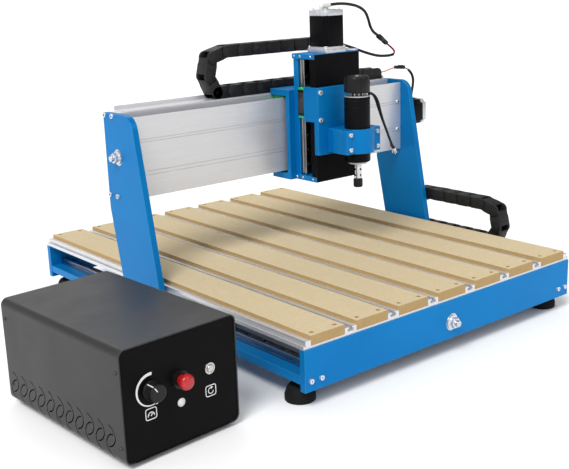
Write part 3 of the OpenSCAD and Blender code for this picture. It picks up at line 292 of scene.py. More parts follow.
class Piece:
    """A mesh gathered from primitives, each with its own place, material and bevel."""

    def __init__(self, name, *materials):
        self.name = name
        self.materials = list(materials)
        self.mesh = bmesh.new()
        self.place = Matrix.Identity(4)

    def add(self, part, material, place=None, bevel=0.0):
        if bevel:
            edges = [e for e in part.edges if len(e.link_faces) == 2
                     and e.calc_face_angle(0) > math.radians(SHARP)]
            bmesh.ops.bevel(part, geom=edges, offset=bevel, segments=2, profile=0.5,
                            affect="EDGES", clamp_overlap=True)
        if material not in self.materials:
            self.materials.append(material)
        number = self.materials.index(material)
        for face in part.faces:
            face.material_index = number
            face.smooth = True
        part.transform(self.place @ (place or Matrix.Identity(4)))
        held = bpy.data.meshes.new("held")
        part.to_mesh(held)
        part.free()
        self.mesh.from_mesh(held)
        bpy.data.meshes.remove(held)

    def prism(self, outline, h0, h1, material, place=None, bevel=0.4):
        part = bmesh.new()
        low = [part.verts.new((x, y, h0)) for x, y in outline]
        high = [part.verts.new((x, y, h1)) for x, y in outline]
        count = len(outline)
        part.faces.new(reversed(low))
        part.faces.new(high)
        for i in range(count):
            k = (i + 1) % count
            part.faces.new((low[i], low[k], high[k], high[i]))
        bmesh.ops.recalc_face_normals(part, faces=part.faces)
        self.add(part, material, place, bevel)

    def block(self, low, high, material, place=None, bevel=0.4):
        x0, y0, z0 = low
        x1, y1, z1 = high
        self.prism([(x0, y0), (x1, y0), (x1, y1), (x0, y1)], z0, z1, material, place, bevel)

    def lathe(self, profile, material, place=None, sides=48, shape=None, closed=False):
        """Turns (radius, height) points about Z. shape(radius, height, turn) may alter a radius."""
        part = bmesh.new()
        rings = []
        for radius, height in profile:
            if radius < 1e-6:
                rings.append([part.verts.new((0, 0, height))])
                continue
            ring = []
            for i in range(sides):
                turn = 2 * math.pi * i / sides
                r = shape(radius, height, turn) if shape else radius
                ring.append(part.verts.new((r * math.cos(turn), r * math.sin(turn), height)))
            rings.append(ring)
        pairs = list(zip(rings, rings[1:]))
        if closed:
            pairs.append((rings[-1], rings[0]))
        for a, b in pairs:
            for i in range(sides):
                k = (i + 1) % sides
                corners = (a[i % len(a)], a[k % len(a)], b[k % len(b)], b[i % len(b)])
                part.faces.new(list(dict.fromkeys(corners)))
        for ring in (rings[0], rings[-1]):
            if len(ring) > 1 and not closed:
                part.faces.new(ring)
        bmesh.ops.recalc_face_normals(part, faces=part.faces)
        self.add(part, material, place)

    def bar(self, radius, h0, h1, material, place=None, sides=32, chamfer=0.4, bore=0.0):
        """Round bar with softened ends, or a tube where bore is a radius."""
        c = min(chamfer, abs(h1 - h0) / 3)
        profile = [(radius - c, h0), (radius - 0.3 * c, h0 + 0.3 * c), (radius, h0 + c),
                   (radius, h1 - c), (radius - 0.3 * c, h1 - 0.3 * c), (radius - c, h1)]
        if bore:
            self.lathe(profile + [(bore, h1), (bore, h0)], material, place, sides, closed=True)
        else:
            self.lathe([(0, h0)] + profile + [(0, h1)], material, place, sides)

    def cap_screw(self, radius, place, head):
        """Head of a socket cap screw standing on Z = 0."""
        socket = radius * 0.52
        self.lathe([(radius, 0), (radius, head * 0.82), (radius * 0.94, head * 0.96),
                    (radius * 0.84, head), (socket * 1.12, head), (socket, head - 0.2),
                    (socket * 0.98, head * 0.45), (0, head * 0.4)], STEEL, place, 24)
        # Dark hexagon at the bottom of the socket: painted shade inside it.
        self.prism(hexagon(socket), head * 0.41, head * 0.47, RECESS_SHADE, place, bevel=0)

    def pan_screw(self, radius, place, material=None):
        """Low domed head with a cross recess."""
        self.lathe([(radius, 0), (radius, radius * 0.2), (radius * 0.85, radius * 0.45),
                    (radius * 0.5, radius * 0.62), (0, radius * 0.68)],
                   material or STEEL, place, 20)
        # Dark cross on the dome: painted shade standing in for the cross recess.
        for spin in (0, 90):
            self.block((-radius * 0.6, -radius * 0.12, radius * 0.45),
                       (radius * 0.6, radius * 0.12, radius * 0.71), RECESS_SHADE,
                       place @ turned(spin), bevel=0)

    def done(self, body=None, replaces=()):
        mesh = bpy.data.meshes.new(self.name)
        self.mesh.transform(WORK)
        self.mesh.to_mesh(mesh)
        self.mesh.free()
        mesh.set_sharp_from_angle(angle=math.radians(SMOOTH))
        for material in self.materials:
            mesh.materials.append(material)
        made = add_object(self.name, mesh)
        if body:
            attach(made, body)
        if replaces:
            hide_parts(*replaces)
        return made


def rounded(x0, y0, x1, y1, r, steps=4):
    """Outline of a rounded rectangle, anticlockwise."""
    points = []
    for cx, cy, start in ((x1 - r, y0 + r, -90), (x1 - r, y1 - r, 0),
                          (x0 + r, y1 - r, 90), (x0 + r, y0 + r, 180)):
        points += arc(cx, cy, r, start, start + 90, steps)
    return points


def arc(cx, cy, r, a0, a1, count):
    """Points of an arc between two angles in degrees, in a number of steps."""
    turns = [a0 + (a1 - a0) * i / count for i in range(count + 1)]
    return [(cx + x, cy + y) for x, y in (polar(r, turn) for turn in turns)]


# ---- Leads ----


def spline(points, steps=6):
    """Catmull-Rom points through the route."""
    p = [Vector(q) for q in points]
    p = [2 * p[0] - p[1]] + p + [2 * p[-1] - p[-2]]
    out = []
    for i in range(1, len(p) - 2):
        for k in range(steps):
            t = k / steps
            a, b, c, d = p[i - 1], p[i], p[i + 1], p[i + 2]
            out.append(0.5 * (2 * b + (c - a) * t + (2 * a - 5 * b + 4 * c - d) * t * t
                              + (3 * b - a - 3 * c + d) * t ** 3))
    return out + [p[-2]]


def lead(name, points, radius, material, body, replaces=(), offset=(0, 0, 0)):
    """Round cable or core along a route, in millimetres."""
    data = bpy.data.curves.new(name, "CURVE")
    data.dimensions = "3D"
    data.bevel_depth = radius / 1000
    data.bevel_resolution = 4
    data.use_fill_caps = True
    line = data.splines.new("POLY")
    route = [at(*(q + Vector(offset))) for q in spline(points)]
    line.points.add(len(route) - 1)
    for spot, q in zip(line.points, route):
        spot.co = (*q, 1)
    line.use_smooth = True
    data.materials.append(material)
    made = add_object(name, data)
    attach(made, body)
    if replaces:
        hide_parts(*replaces)
    return made, route


Z_LEAD = [(91, 415, 580), (120, 416, 581), (150, 420, 579), (182, 425, 573), (207, 430, 562),
          (222, 435, 546), (233, 440, 530), (248, 446, 517), (267, 450, 507), (299, 456, 488),
          (320, 461, 477), (334, 466, 468), (338, 472, 461), (331, 482, 458), (309, 494, 459),
          (280, 505, 468), (250, 514, 480), (225, 522, 489), (204, 532, 496)]
X_LEAD = [(438, 512, 349), (441, 513, 362), (446, 514, 378), (448, 515, 392), (444, 516, 405),
          (434, 517, 416), (419, 518, 423), (391, 519, 425), (376, 521, 422), (362, 524, 418),
          (346, 528, 416)]
SPINDLE_A = [(93, 305, 408), (98, 299, 407.5), (103, 295, 402), (108, 292, 390), (113, 291, 372),
             (120, 290, 351), (129, 289, 330), (137, 289, 313), (144, 289, 300), (149, 289, 292)]
SPINDLE_B = [(98, 311, 408), (104, 307.5, 407.5), (109, 304, 401), (114, 302, 388),
             (120, 300, 369), (128, 299, 350), (136, 298, 332), (143, 297, 316), (149, 297, 303),
             (152, 297, 294)]
SPINDLE_LEAD_D = 0.0048
SPINDLE_A_LENGTH = 0.135
SPINDLE_B_LENGTH = 0.132
TERMINAL_L = 13


def inline_connector(name, a, b, body):
    """Two-part connector between two points of a lead, with its latch and ribs."""
    piece = Piece(name, PLASTIC)
    length = (Vector(b) - Vector(a)).length
    place = towards(a, b)
    piece.prism(rounded(-5, -4, 5, 4, 1), 0, length * 0.52, PLASTIC, place, bevel=0.5)
    piece.prism(rounded(-4.3, -3.4, 4.3, 3.4, 0.9), length * 0.5, length, PLASTIC, place, bevel=0.5)
    piece.block((-2.4, 3.6, length * 0.1), (2.4, 5, length * 0.6), PLASTIC, place, bevel=0.4)
    for i in range(3):
        h = length * (0.68 + 0.1 * i)
        piece.block((-4.6, -3.7, h), (4.6, 3.7, h + 1), PLASTIC, place, bevel=0.2)
    piece.done(body)


def motor_leads():
    lead("z_lead_sheath", Z_LEAD[:9], 3, CABLE, "cross_carriage", ["z_motor_lead"])
    lead("z_lead_red_core", Z_LEAD[9:13], 1.1, RED_CORE, "cross_carriage", offset=(0, -1.2, 0.6))
    lead("z_lead_black_core", Z_LEAD[9:13], 1.1, CABLE, "cross_carriage", offset=(0, 1.2, -0.6))
    lead("z_lead_to_chain", Z_LEAD[12:], 3, CABLE, "cross_carriage")
    inline_connector("z_lead_connector", Z_LEAD[8], Z_LEAD[9], "cross_carriage")
    lead("x_lead_sheath", X_LEAD[:6], 3, CABLE, "gantry", ["x_motor_lead"])
    lead("x_lead_core_a", X_LEAD[5:7], 1.2, CABLE, "gantry", offset=(0, -1, 0))
    lead("x_lead_core_b", X_LEAD[5:7], 1.2, RED_CORE, "gantry", offset=(0, 1.4, 0.6))
    lead("x_lead_red_core", X_LEAD[7:], 1.1, RED_CORE, "gantry", offset=(0, -1, 0))
    lead("x_lead_black_core", X_LEAD[7:], 1.1, CABLE, "gantry", offset=(0, 1.2, -0.5))
    inline_connector("x_lead_connector", X_LEAD[6], X_LEAD[7], "gantry")


def fork_terminal(name, route, replaces=()):
    """Crimped fork on a lead's end: barrel, neck and two prongs."""
    end = Vector(route[-1])
    place = towards(end, 2 * end - Vector(route[-2]))
    piece = Piece(name, STEEL)
    piece.bar(2.9, -1.5, 0.42 * TERMINAL_L, STEEL, place, 20, 0.3)
    piece.bar(3.05, -6, -0.5, RED_CORE if name.endswith("rear") else CABLE, place, 20, 0.5)
    piece.block((-0.5, -2.1, 0.4 * TERMINAL_L), (0.5, 2.1, 0.62 * TERMINAL_L), STEEL, place, 0.2)
    for low, high in ((-3, -1.4), (1.4, 3)):
        piece.block((-0.5, low, 0.58 * TERMINAL_L), (0.5, high, TERMINAL_L), STEEL, place, 0.2)
    piece.block((-0.5, -3, 0.56 * TERMINAL_L), (0.5, 3, 0.66 * TERMINAL_L), STEEL, place, 0.2)
    return piece.done("lift_slide", replaces)


def spindle_leads():
    for name, points, length, wire_node, fork_node in (
            ("front", SPINDLE_A, SPINDLE_A_LENGTH, ["spindle_leads"], ["spindle_terminals"]),
            ("rear", SPINDLE_B, SPINDLE_B_LENGTH, [], [])):
        wire, route = lead(f"spindle_lead_{name}", points, SPINDLE_LEAD_D * 500, CABLE,
                           "lift_slide", wire_node)
        fork = fork_terminal(f"spindle_fork_{name}", points, fork_node)


motor_leads()
spindle_leads()

# ---- Stepper motors ----

FLANGE = 12
MOTOR_W = 57
MOTOR_L = 85
BOLT = 23.57
SHAFT_R = 4


def notched(w, notch):
    """Square outline with a step cut out of each corner."""
    h = w / 2
    quarter = [(h, h - notch), (h - notch * 0.45, h - notch), (h - notch, h - notch * 0.45),
               (h - notch, h)]
    points = []
    for i in range(4):
        turn = Matrix.Rotation(math.radians(90 * i), 2)
        points += [tuple(turn @ Vector(q)) for q in quarter]
    return points


def stepper(name, place, body, node, socket=None):
    """Stepper motor on its flange, pointing along +Z away from what it drives."""
    piece = Piece(name, MOTOR)
    piece.place = place
    half = MOTOR_W / 2
    piece.prism(rounded(-half, -half, half, half, 3.5), 0, FLANGE - 3, CAST, bevel=0.5)
    piece.prism(notched(MOTOR_W - 1, 7.5), FLANGE - 3.2, FLANGE, CAST, bevel=0.4)
    top = MOTOR_L - 12
    piece.prism(notched(MOTOR_W - 1, 8), FLANGE, top, MOTOR, bevel=0.5)
    piece.prism(notched(MOTOR_W - 0.6, 7.5), top, MOTOR_L - 1.5, CAST, bevel=0.6)
    piece.prism(rounded(-22, -22, 22, 22, 8), MOTOR_L - 1.8, MOTOR_L, CAST, bevel=0.5)
    piece.bar(11, MOTOR_L - 0.6, MOTOR_L, CAST, sides=40)
    # Dark disc in the middle of the rear cap: painted shade of its recess.
    piece.bar(8, MOTOR_L - 0.3, MOTOR_L + 0.2, RECESS_SHADE, sides=40, chamfer=0.1)
    for x in (-1, 1):
        for y in (-1, 1):
            piece.cap_screw(4.2, moved(x * BOLT, y * BOLT, FLANGE - 3), 4.5)
            piece.pan_screw(3.2, moved(x * 18.5, y * 18.5, MOTOR_L))
    piece.bar(19, -1.6, 0.5, CAST, sides=64)
    piece.bar(SHAFT_R, -9, 0, BRIGHT)
    piece.place = Matrix.Identity(4)
    if socket:
        socket(piece)
    piece.done(body, [node])


def z_socket(piece):
    """White socket on top of the lifting motor, with its housing on the lead."""
    piece.block((70.5, 411, 571.6), (86, 421, 575), SOCKET, bevel=0.5)
    piece.block((69, 410, 575), (93, 421.5, 584), SOCKET, bevel=0.9)
    for i in range(4):
        piece.block((72 + 4.5 * i, 409.7, 577), (73.2 + 4.5 * i, 410.3, 582.5), SOCKET, bevel=0.1)
    piece.block((74, 412, 583.9), (88, 419, 584.6), SOCKET, bevel=0.3)


def x_socket(piece):
    piece.block((425, 503, 347.6), (450, 521, 349), PLASTIC, bevel=0.4)


SCREW_Z, CROSS_Y, CROSS_Z, LIFT_X, LIFT_Y = 30, 505, 320, 78.5, 409
PLATE_OUT = 368.35
BASE_D = 886
FRAME_TOP = 487
stepper("x_motor_body", facing((PLATE_OUT, CROSS_Y, CROSS_Z), "+x"), "gantry", "x_motor", x_socket)
stepper("y_motor_body", facing((0, BASE_D, SCREW_Z), "+y"), "base", "y_motor")
stepper("z_motor_body", facing((LIFT_X, LIFT_Y, FRAME_TOP), "+z"), "cross_carriage", "z_motor",
        z_socket)

# ---- Cable chains ----

LINK_H = 24.5
CHAIN_W = 34
TURN_R = 28 + LINK_H / 2
LEAF = 2.6
HEADINGS = [math.radians(a) for a in (15, 76, 116)]
PITCH = 2 * TURN_R / sum(math.sin(a) for a in HEADINGS)
TURN_START = 4
SHORTEST_END = 8


def turn_pivots():
    """The pivots of the half turn, from the upper run round to the lower one."""
    pivots = [Vector((TURN_START, 0, TURN_R))]
    for a in HEADINGS:
        pivots.append(pivots[-1] + PITCH * Vector((-math.cos(a), 0, -math.sin(a))))
    return pivots


def leaf_outline(back, front, round_back, round_front):
    """Side plate in (X, Z) about the chain's middle line, with a rounded end where it turns."""
    h = LINK_H / 2
    points = arc(front, 0, h, -90, 90, 10) if round_front else [(front, -h), (front, h)]
    return points + (arc(back, 0, h, 90, 270, 10) if round_back else [(back, h), (back, -h)])


def link(piece, place, outer_side=1):
    """One link from pivot to pivot along +X, its middle line on Z = 0 and its side on Y = 0."""
    side = place @ turned(90, "X")
    h = LINK_H / 2
    far = CHAIN_W - LEAF
    outer_leaf = leaf_outline(0, PITCH * 0.62, True, False)
    inner_leaf = leaf_outline(PITCH * 0.5, PITCH, False, True)
    for outer, inner in (((0, LEAF), (LEAF + 0.1, 2 * LEAF)),
                         ((far, CHAIN_W), (far - LEAF, far - 0.1))):
        piece.prism(outer_leaf, -outer[1], -outer[0], CHAIN, side, 0.5)
        piece.prism(inner_leaf, -inner[1], -inner[0], CHAIN, side, 0.3)
    for y0, face in ((0, "-y"), (CHAIN_W, "+y")):
        piece.bar(3.2, -0.2, 0.3, CHAIN, place @ facing((0, y0, 0), face), 20, 0.15)
    for way, ends in ((outer_side, (0.05, 0.93)), (-outer_side, (0.24, 0.76))):
        z0, z1 = sorted((way * h, way * (h - 2.4)))
        piece.block((PITCH * ends[0], LEAF * 0.5, z0), (PITCH * ends[1], CHAIN_W - LEAF * 0.5, z1),
                    CHAIN, place, 0.6)
    rib = outer_side * h
    for share in (0.2, 0.78):
        z0, z1 = sorted((rib, rib + outer_side * 0.35))
        piece.block((PITCH * share, LEAF, z0), (PITCH * share + 1.6, far, z1), CHAIN, place, 0.15)


def end_bracket(piece, place, length):
    """The chain's end: a channel with two screws, drawn along +X from the last pivot."""
    h = LINK_H / 2
    for y0, y1 in ((LEAF, 2 * LEAF), (CHAIN_W - 2 * LEAF, CHAIN_W - LEAF)):
        outline = [(-6, -h), (length, -h)] + arc(length - h, 0, h, 0, 90, 6) + [(-6, h)]
        piece.prism(outline, -y1, -y0, CHAIN, place @ turned(90, "X"), 0.4)
    piece.block((2, LEAF, -h), (length, CHAIN_W - LEAF, 2.6 - h), CHAIN, place, 0.4)
    for y in (CHAIN_W * 0.33, CHAIN_W * 0.67):
        piece.cap_screw(2.4, place @ moved(length * 0.6, y, 2.6 - h), 2)


def chain(prefix, frame_place, bodies, nodes, low_end, high_end, blends):
    """A whole chain drawn along +X with its turn's centre at the origin, on the -X side."""
    pivots = turn_pivots()
    turn = Piece(prefix + "_turn", CHAIN)
    turn.place = frame_place
    for end, start in zip(pivots, pivots[1:]):
        lean = math.atan2(end.z - start.z, end.x - start.x)
        link(turn, Matrix.Translation(start) @ Matrix.Rotation(-lean, 4, "Y"))
    turn.done(bodies[1], [nodes[1]])
    for name, start, end, node, blend, way in (
        ("_lower", pivots[-1], low_end, nodes[0], blends[0], -1),
        ("_upper", pivots[0], high_end, nodes[2], blends[1], 1),
    ):
        run = Piece(prefix + name, CHAIN)
        run.place = frame_place
        x, z = start.x, start.z
        while x + PITCH <= end - SHORTEST_END:
            link(run, moved(x, 0, z), way)
            x += PITCH
        flip = Matrix.Identity(4)
        if way > 0:
            flip = turned(180, "X") @ moved(0, -CHAIN_W, 0)
        end_bracket(run, moved(x, 0, z) @ flip, end - x)
        piece = run.done(None, [node])
        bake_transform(piece)


TURN_X, TURN_Z = -97.5, 456.2
CHAIN_Y = 515
FIXED_X, MOVING_X = 345.35, 203.5
chain("cross_chain", moved(TURN_X, CHAIN_Y, TURN_Z),
      ("gantry", "cross_chain_bend", "cross_carriage"),
      ("x_chain_lower", "x_chain_bend", "x_chain_upper"), FIXED_X - TURN_X, MOVING_X - TURN_X,
      (("gantry", "cross_carriage",
        at(FIXED_X, CHAIN_Y, TURN_Z), at(2 * TURN_X - FIXED_X, CHAIN_Y, TURN_Z)),
       ("gantry", "cross_carriage",
        at(2 * TURN_X - MOVING_X, CHAIN_Y, TURN_Z), at(MOVING_X, CHAIN_Y, TURN_Z))))
TURN_Y, LONG_TURN_Z = 243.5, 102.5
LONG_X = 373.95
FIXED_Y, MOVING_Y = 470, 430
TO_DEPTH = turned(90)
INTO_DEPTH = (moved(LONG_X, TURN_Y, LONG_TURN_Z) @ TO_DEPTH
              @ moved(0, -CHAIN_W, 0))
chain("long_chain", INTO_DEPTH, ("base", "long_chain_bend", "gantry"),
      ("y_chain_lower", "y_chain_bend", "y_chain_upper"), FIXED_Y - TURN_Y, MOVING_Y - TURN_Y,
      (("base", "gantry",
        at(0, FIXED_Y, LONG_TURN_Z), at(0, 2 * TURN_Y - FIXED_Y, LONG_TURN_Z)),
       ("base", "gantry",
        at(0, 2 * TURN_Y - MOVING_Y, LONG_TURN_Z), at(0, MOVING_Y, LONG_TURN_Z))))

# ---- Spindle ----

AXIS_X, AXIS_Y = 78.5, 322
AXIS = moved(AXIS_X, AXIS_Y, 0)
SPINDLE_R = 26
CAP_RIBS = 16


def spindle():
    body = Piece("spindle_motor_body", SPINDLE)
    r = SPINDLE_R
    body.lathe([(8.2, 272), (r - 2.5, 272), (r - 0.8, 273), (r, 275), (r, 383), (r - 0.7, 383.4),
                (r - 0.7, 384.4), (r, 384.8), (r, 396), (r - 0.7, 396.4), (r - 0.7, 397.4),
                (r, 397.8), (r, 401.6), (r - 1, 403), (8.2, 403)], SPINDLE, AXIS, 72, closed=True)
    body.lathe([(8.2, 268), (18.6, 268), (20, 269.2), (20, 272), (8.2, 272)], CAST, AXIS, 64,
               closed=True)
    for turn in range(4):
        x, y = polar(14.5, 45 + 90 * turn)
        body.pan_screw(1.7, facing((AXIS_X + x, AXIS_Y + y, 268), "-z"))
    body.done("lift_slide", ["spindle_body"])

    cap = Piece("spindle_fan_cap", PLASTIC)
    cap.lathe([(0, 403), (r - 0.4, 403), (r, 403.6), (r, 404.4), (r - 0.8, 405), (0, 405)], CAST,
              AXIS, 72)
    cap.bar(13, 405, 411, DULL, AXIS, 48, 0.4)
    for turn in range(12):
        cap.block((-0.8, -0.8, 0), (0.8, 0.8, 6), CAST,
                  AXIS @ moved(0, 0, 405) @ turned(30 * turn) @ moved(16, 0, 0), 0.1)

    def ribbed(radius, height, turn):
        return radius + (1.1 if radius >= r - 2.4 and math.cos(CAP_RIBS * turn) > 0.15 else 0)

    cap.lathe([(0, 411), (r - 3.5, 411), (r - 1.5, 412), (r - 1.2, 413), (r - 1.2, 438),
               (r - 2.2, 441.5), (r - 4, 443.4), (r - 6, 444), (17.5, 444), (16.8, 443),
               (16.2, 438.6), (0, 438.6)], PLASTIC, AXIS, 192, shape=ribbed)
    for turn in range(8):
        cap.prism(rounded(7, -2.4, 21.2, 2.4, 1.2), 438, 443.6, PLASTIC,
                  AXIS @ turned(45 * turn + 20), 0.5)
    cap.bar(6.5, 438, 443.4, PLASTIC, AXIS, 32, 0.6)
    cap.bar(4.2, 438, 443.9, STEEL, AXIS, 32, 0.4)
    for route in (SPINDLE_A, SPINDLE_B):
        out = Vector((route[0][0] - AXIS_X, route[0][1] - AXIS_Y, 0)).normalized() * 20
        post = moved(AXIS_X + out.x, AXIS_Y + out.y, 405)
        cap.bar(2.2, 0, 5, STEEL, post, 20, 0.3)
        cap.prism(hexagon(3.4), 2.6, 4.4, STEEL, post, 0.25)
    cap.done("lift_slide", ["spindle_cap"])

    shaft = Piece("spindle_output_shaft", BRIGHT)
    shaft.lathe([(1.59, 219.6), (4.4, 219.6), (5.3, 221.5), (5.3, 237), (7.2, 237), (7.9, 237.8),
                 (7.9, 262.5), (7.4, 263), (7.4, 264), (7.9, 264.5), (7.9, 292), (18, 292),
                 (18, 386.5), (1.59, 386.5)], BRIGHT, AXIS, 48, closed=True)
    # Dark spots and slots on the shaft: painted shade standing in for its holes.
    for side, x, y in (("-y", 0, -7.75), ("+y", 0, 7.75), ("-x", -7.75, 0), ("+x", 7.75, 0)):
        shaft.bar(2.2, -0.6, 0.25, RECESS_SHADE, facing((AXIS_X + x, AXIS_Y + y, 256), side), 24, 0.1)
        shaft.prism(rounded(-1.6, -2.6, 1.6, 2.6, 1.5), -0.6, 0.25, RECESS_SHADE,
                    facing((AXIS_X + x, AXIS_Y + y, 244), side), 0.1)
    shaft.done("spindle_rotor", ["spindle_shaft"])

    nut = Piece("collet_nut_knurled", PLASTIC)

    def wrench_slots(radius, height, turn):
        return radius - (1.1 if math.cos(6 * turn) > 0.72 and radius > 8.4 else 0)

    nut.lathe([(5.4, 219), (8, 219), (9.2, 220.4), (9.5, 222), (9.5, 233), (9.1, 235.2), (8, 236),
               (5.4, 236)], PLASTIC, AXIS, 144, shape=wrench_slots, closed=True)
    nut.done("spindle_rotor", ["collet_nut"])


spindle()

# ---- Ballscrews ----

LEAD = 5
THREAD_DEPTH = 1.15
SCREW_R = 8
JOURNAL_R = 6
COUPLING_R = 12
NUT_GAP = 13.3


def ballscrew(name, place, body, node, low, thread0, thread1, high, shaft_to, nut_gap=0.0):
    """Screw along Z with a rolled thread, journals, a jaw coupling and the motor's shaft. With
    nut_gap it has a washer and a nut on its free end, that far below the thread."""
    piece = Piece(name, BRIGHT)
    piece.place = place

    def thread(radius, height, turn):
        phase = (height / LEAD - turn / (2 * math.pi)) % 1
        dip = max(0.0, math.cos(2 * math.pi * (phase - 0.5)) - 0.1)
        return radius - THREAD_DEPTH * dip

    step = LEAD / 8
    count = int((thread1 - thread0) / step)
    piece.lathe([(SCREW_R, thread0 + i * step) for i in range(count + 1)], RAIL_Z, None, 20,
                shape=thread)
    piece.bar(JOURNAL_R, low, thread0 + 0.5, BRIGHT, None, 28, 0.8)
    piece.bar(JOURNAL_R, thread1 - 1, high, BRIGHT, None, 28, 0.6)
    for h0, h1 in ((high - 12, high - 0.5), (high + 6.5, high + 18)):
        piece.bar(COUPLING_R, h0, h1, CAST, None, 48, 0.7)
        # Dark strip: painted shade in the coupling's clamping slit.
        piece.block((-12.1, -0.4, h0 + 1), (0, 0.4, h1 - 1), RECESS_SHADE, None, 0)
    for turn in range(6):
        piece.prism([(4.5, -2.4), (11.8, -3.2), (11.8, 3.2), (4.5, 2.4)], high - 0.6, high + 6.6,
                    RED if turn % 2 else CAST, turned(60 * turn), 0.3)
    for h in (high - 6, high + 12):
        piece.cap_screw(2.4, moved(0, 0, h) @ facing((8, -9, 0), "-y"), 1.6)
    piece.bar(SHAFT_R, high + 2, shaft_to, BRIGHT, None, 24, 0.3)
    if nut_gap:
        back = thread0 - nut_gap
        piece.bar(13, -2.5 + back, back, STEEL, None, 48, 0.4, bore=6.1)
        piece.prism(hexagon(10.4), back - 10.5, back - 2.5, STEEL, None, 0.6)
        piece.bar(8.6, back - 11, back - 10.3, STEEL, None, 40, 0.3)
        # Dark disc round the journal: painted shade in the nut's bore.
        piece.bar(6.05, back - 11.2, back - 10, RECESS_SHADE, None, 32, 0.1)
        for h in range(5):
            piece.bar(6.12, low + 0.8 + 1.1 * h, low + 1.3 + 1.1 * h, BRIGHT, None, 28, 0.2)
    piece.place = Matrix.Identity(4)
    piece.done(body, [node])


ballscrew("long_ballscrew", facing((0, 0, SCREW_Z), "+y"), "long_screw", "y_screw",
          -16, 14, 826, 860, 884, NUT_GAP)
ballscrew("cross_ballscrew", facing((0, CROSS_Y, CROSS_Z), "+x"), "cross_screw", "x_screw",
          -384.35, -354.35, 294.35, 328.35, 366.35, NUT_GAP)
ballscrew("lift_ballscrew", facing((LIFT_X, LIFT_Y, 0), "+z"), "lift_screw", "z_screw",
          229, 240, 430, 460, 485)

# ---- Linear blocks and rails ----


def linear_block(piece, place):
    """Block along X over a rail on Z = 0: steel body, end caps and green seals."""

    def section(inset):
        half = [(17 - inset, 20), (17 - inset, 4.3 + inset), (7.8, 4.3 + inset), (7.8, 15.3)]
        top = 15 - inset
        return ([(-x, y) for x, y in half] + half[::-1]
                + [(top, 28 - inset), (-top, 28 - inset)])

    run = place @ turned(90) @ turned(90, "X")
    for x0, x1, inset, material in ((-30.7, -26.5, 0.5, GREEN), (-26.4, -20, 0.2, PLASTIC),
                                    (-19.9, 19.9, 0, DULL), (20, 26.4, 0.2, PLASTIC),
                                    (26.5, 30.7, 0.5, GREEN)):
        piece.prism(section(inset), x0, x1, material, run, 0.4)
    # Dark discs on top: painted shade in the tapped holes.
    for x in (-13, 13):
        for y in (-13, 13):
            piece.bar(2.4, 27.4, 28.05, RECESS_SHADE, place @ moved(x, y, 0), 20, 0.1)
    for x, face in ((-30.6, "-x"), (30.6, "+x")):
        for y in (-12, 12):
            piece.pan_screw(1.6, place @ facing((x, y, 12), face))


def block_group(name, places, body, node):
    piece = Piece(name, DULL)
    for place in places:
        linear_block(piece, place)
    piece.done(body, [node])


RAIL_FLOOR, RAIL_CEILING, CROSS_RAIL_Y, LONG_RAIL_X, BEAM_TOP = 373.3, 266.7, 491, 318, 25.5
RAIL_H = 15
Z_RAILS, BACK_Y = (LIFT_X - 46, LIFT_X + 46), 435
OVER = turned(180, "X")
STANDING = turned(90, "X") @ turned(90)
block_group("z_linear_blocks", [moved(x, BACK_Y, 388.7) @ STANDING for x in Z_RAILS],
            "lift_slide", "z_blocks")
block_group("x_linear_blocks",
            [moved(LIFT_X + x, CROSS_RAIL_Y, z) @ turn for x in (-34, 34)
             for z, turn in ((RAIL_FLOOR, Matrix.Identity(4)), (RAIL_CEILING, OVER))],
            "cross_carriage", "x_blocks")
block_group("y_linear_blocks", [moved(x, 451 + y, BEAM_TOP) @ TO_DEPTH
                                for x in (-LONG_RAIL_X, LONG_RAIL_X) for y in (-32, 32)],
            "gantry", "y_blocks")


def rail_plugs(name, body, spots):
    """Caps in the rails' counterbores."""
    piece = Piece(name, DULL)
    for place in spots:
        piece.bar(3.7, -0.4, 0.12, DULL, place, 20, 0.08)
        # The dark disc in the middle of each is painted shade of the counterbore.
        piece.bar(2.9, 0, 0.18, RECESS_SHADE, place, 20, 0.05)
    piece.done(body)


rail_plugs("z_rail_plugs", "cross_carriage",
           [facing((x, BACK_Y - RAIL_H, 260 + 30 * i), "-y") for x in Z_RAILS for i in range(7)])
rail_plugs("x_rail_plugs", "gantry",
           [facing((-330 + 60 * i, CROSS_RAIL_Y, z), face) for i in range(12)
            for z, face in ((RAIL_FLOOR + RAIL_H, "+z"), (RAIL_CEILING - RAIL_H, "-z"))])
rail_plugs("y_rail_plugs", "base",
           [facing((x, 43 + 50 * i, BEAM_TOP + RAIL_H), "+z") for x in (-LONG_RAIL_X, LONG_RAIL_X)
            for i in range(17)])

# ---- Screws ----


def screw_heads(name, body, radius, height, places, replaces=()):
    """Socket heads of a height, or pan heads where the height is 0."""
    piece = Piece(name, STEEL)
    for place in places:
        if height:
            piece.cap_screw(radius, place, height)
        else:
            piece.pan_screw(radius, place)
    piece.done(body, replaces)


PLATE_SCREWS = ([(y, z) for y in (513, 540.5) for z in (397.3, 244.2)]
                + [(y, 59.5) for y in (406, 451, 496)])
screw_heads("gantry_screw_heads", "gantry", 4.6, 3.4,
            [facing((x, y, z), face) for x, face in ((-PLATE_OUT, "-x"), (PLATE_OUT, "+x"))
             for y, z in PLATE_SCREWS], ["gantry_screws"])
screw_heads("beam_face_screws", "gantry", 4.2, 0,
            [facing((x, 469, z), "-y") for x in (346, -346) for z in (353, 290)])
screw_heads("saddle_screws", "lift_slide", 5.0, 3.6,
            [facing((LIFT_X + x, 364, z), "-y") for x in (-61.2, 61.2) for z in (413, 358)])
screw_heads("clamp_screws", "lift_slide", 4.6, 4,
            [facing((LIFT_X + x, 303.6, z), "-y") for x in (-37, 37) for z in (301, 331)])
screw_heads("z_frame_screws", "cross_carriage", 2.6, 0,
            [facing((x, y, z), face) for x, face in ((18, "-x"), (139, "+x"))
             for y in (392, 424, 442) for z in (482, 233)])

# ---- Feet ----

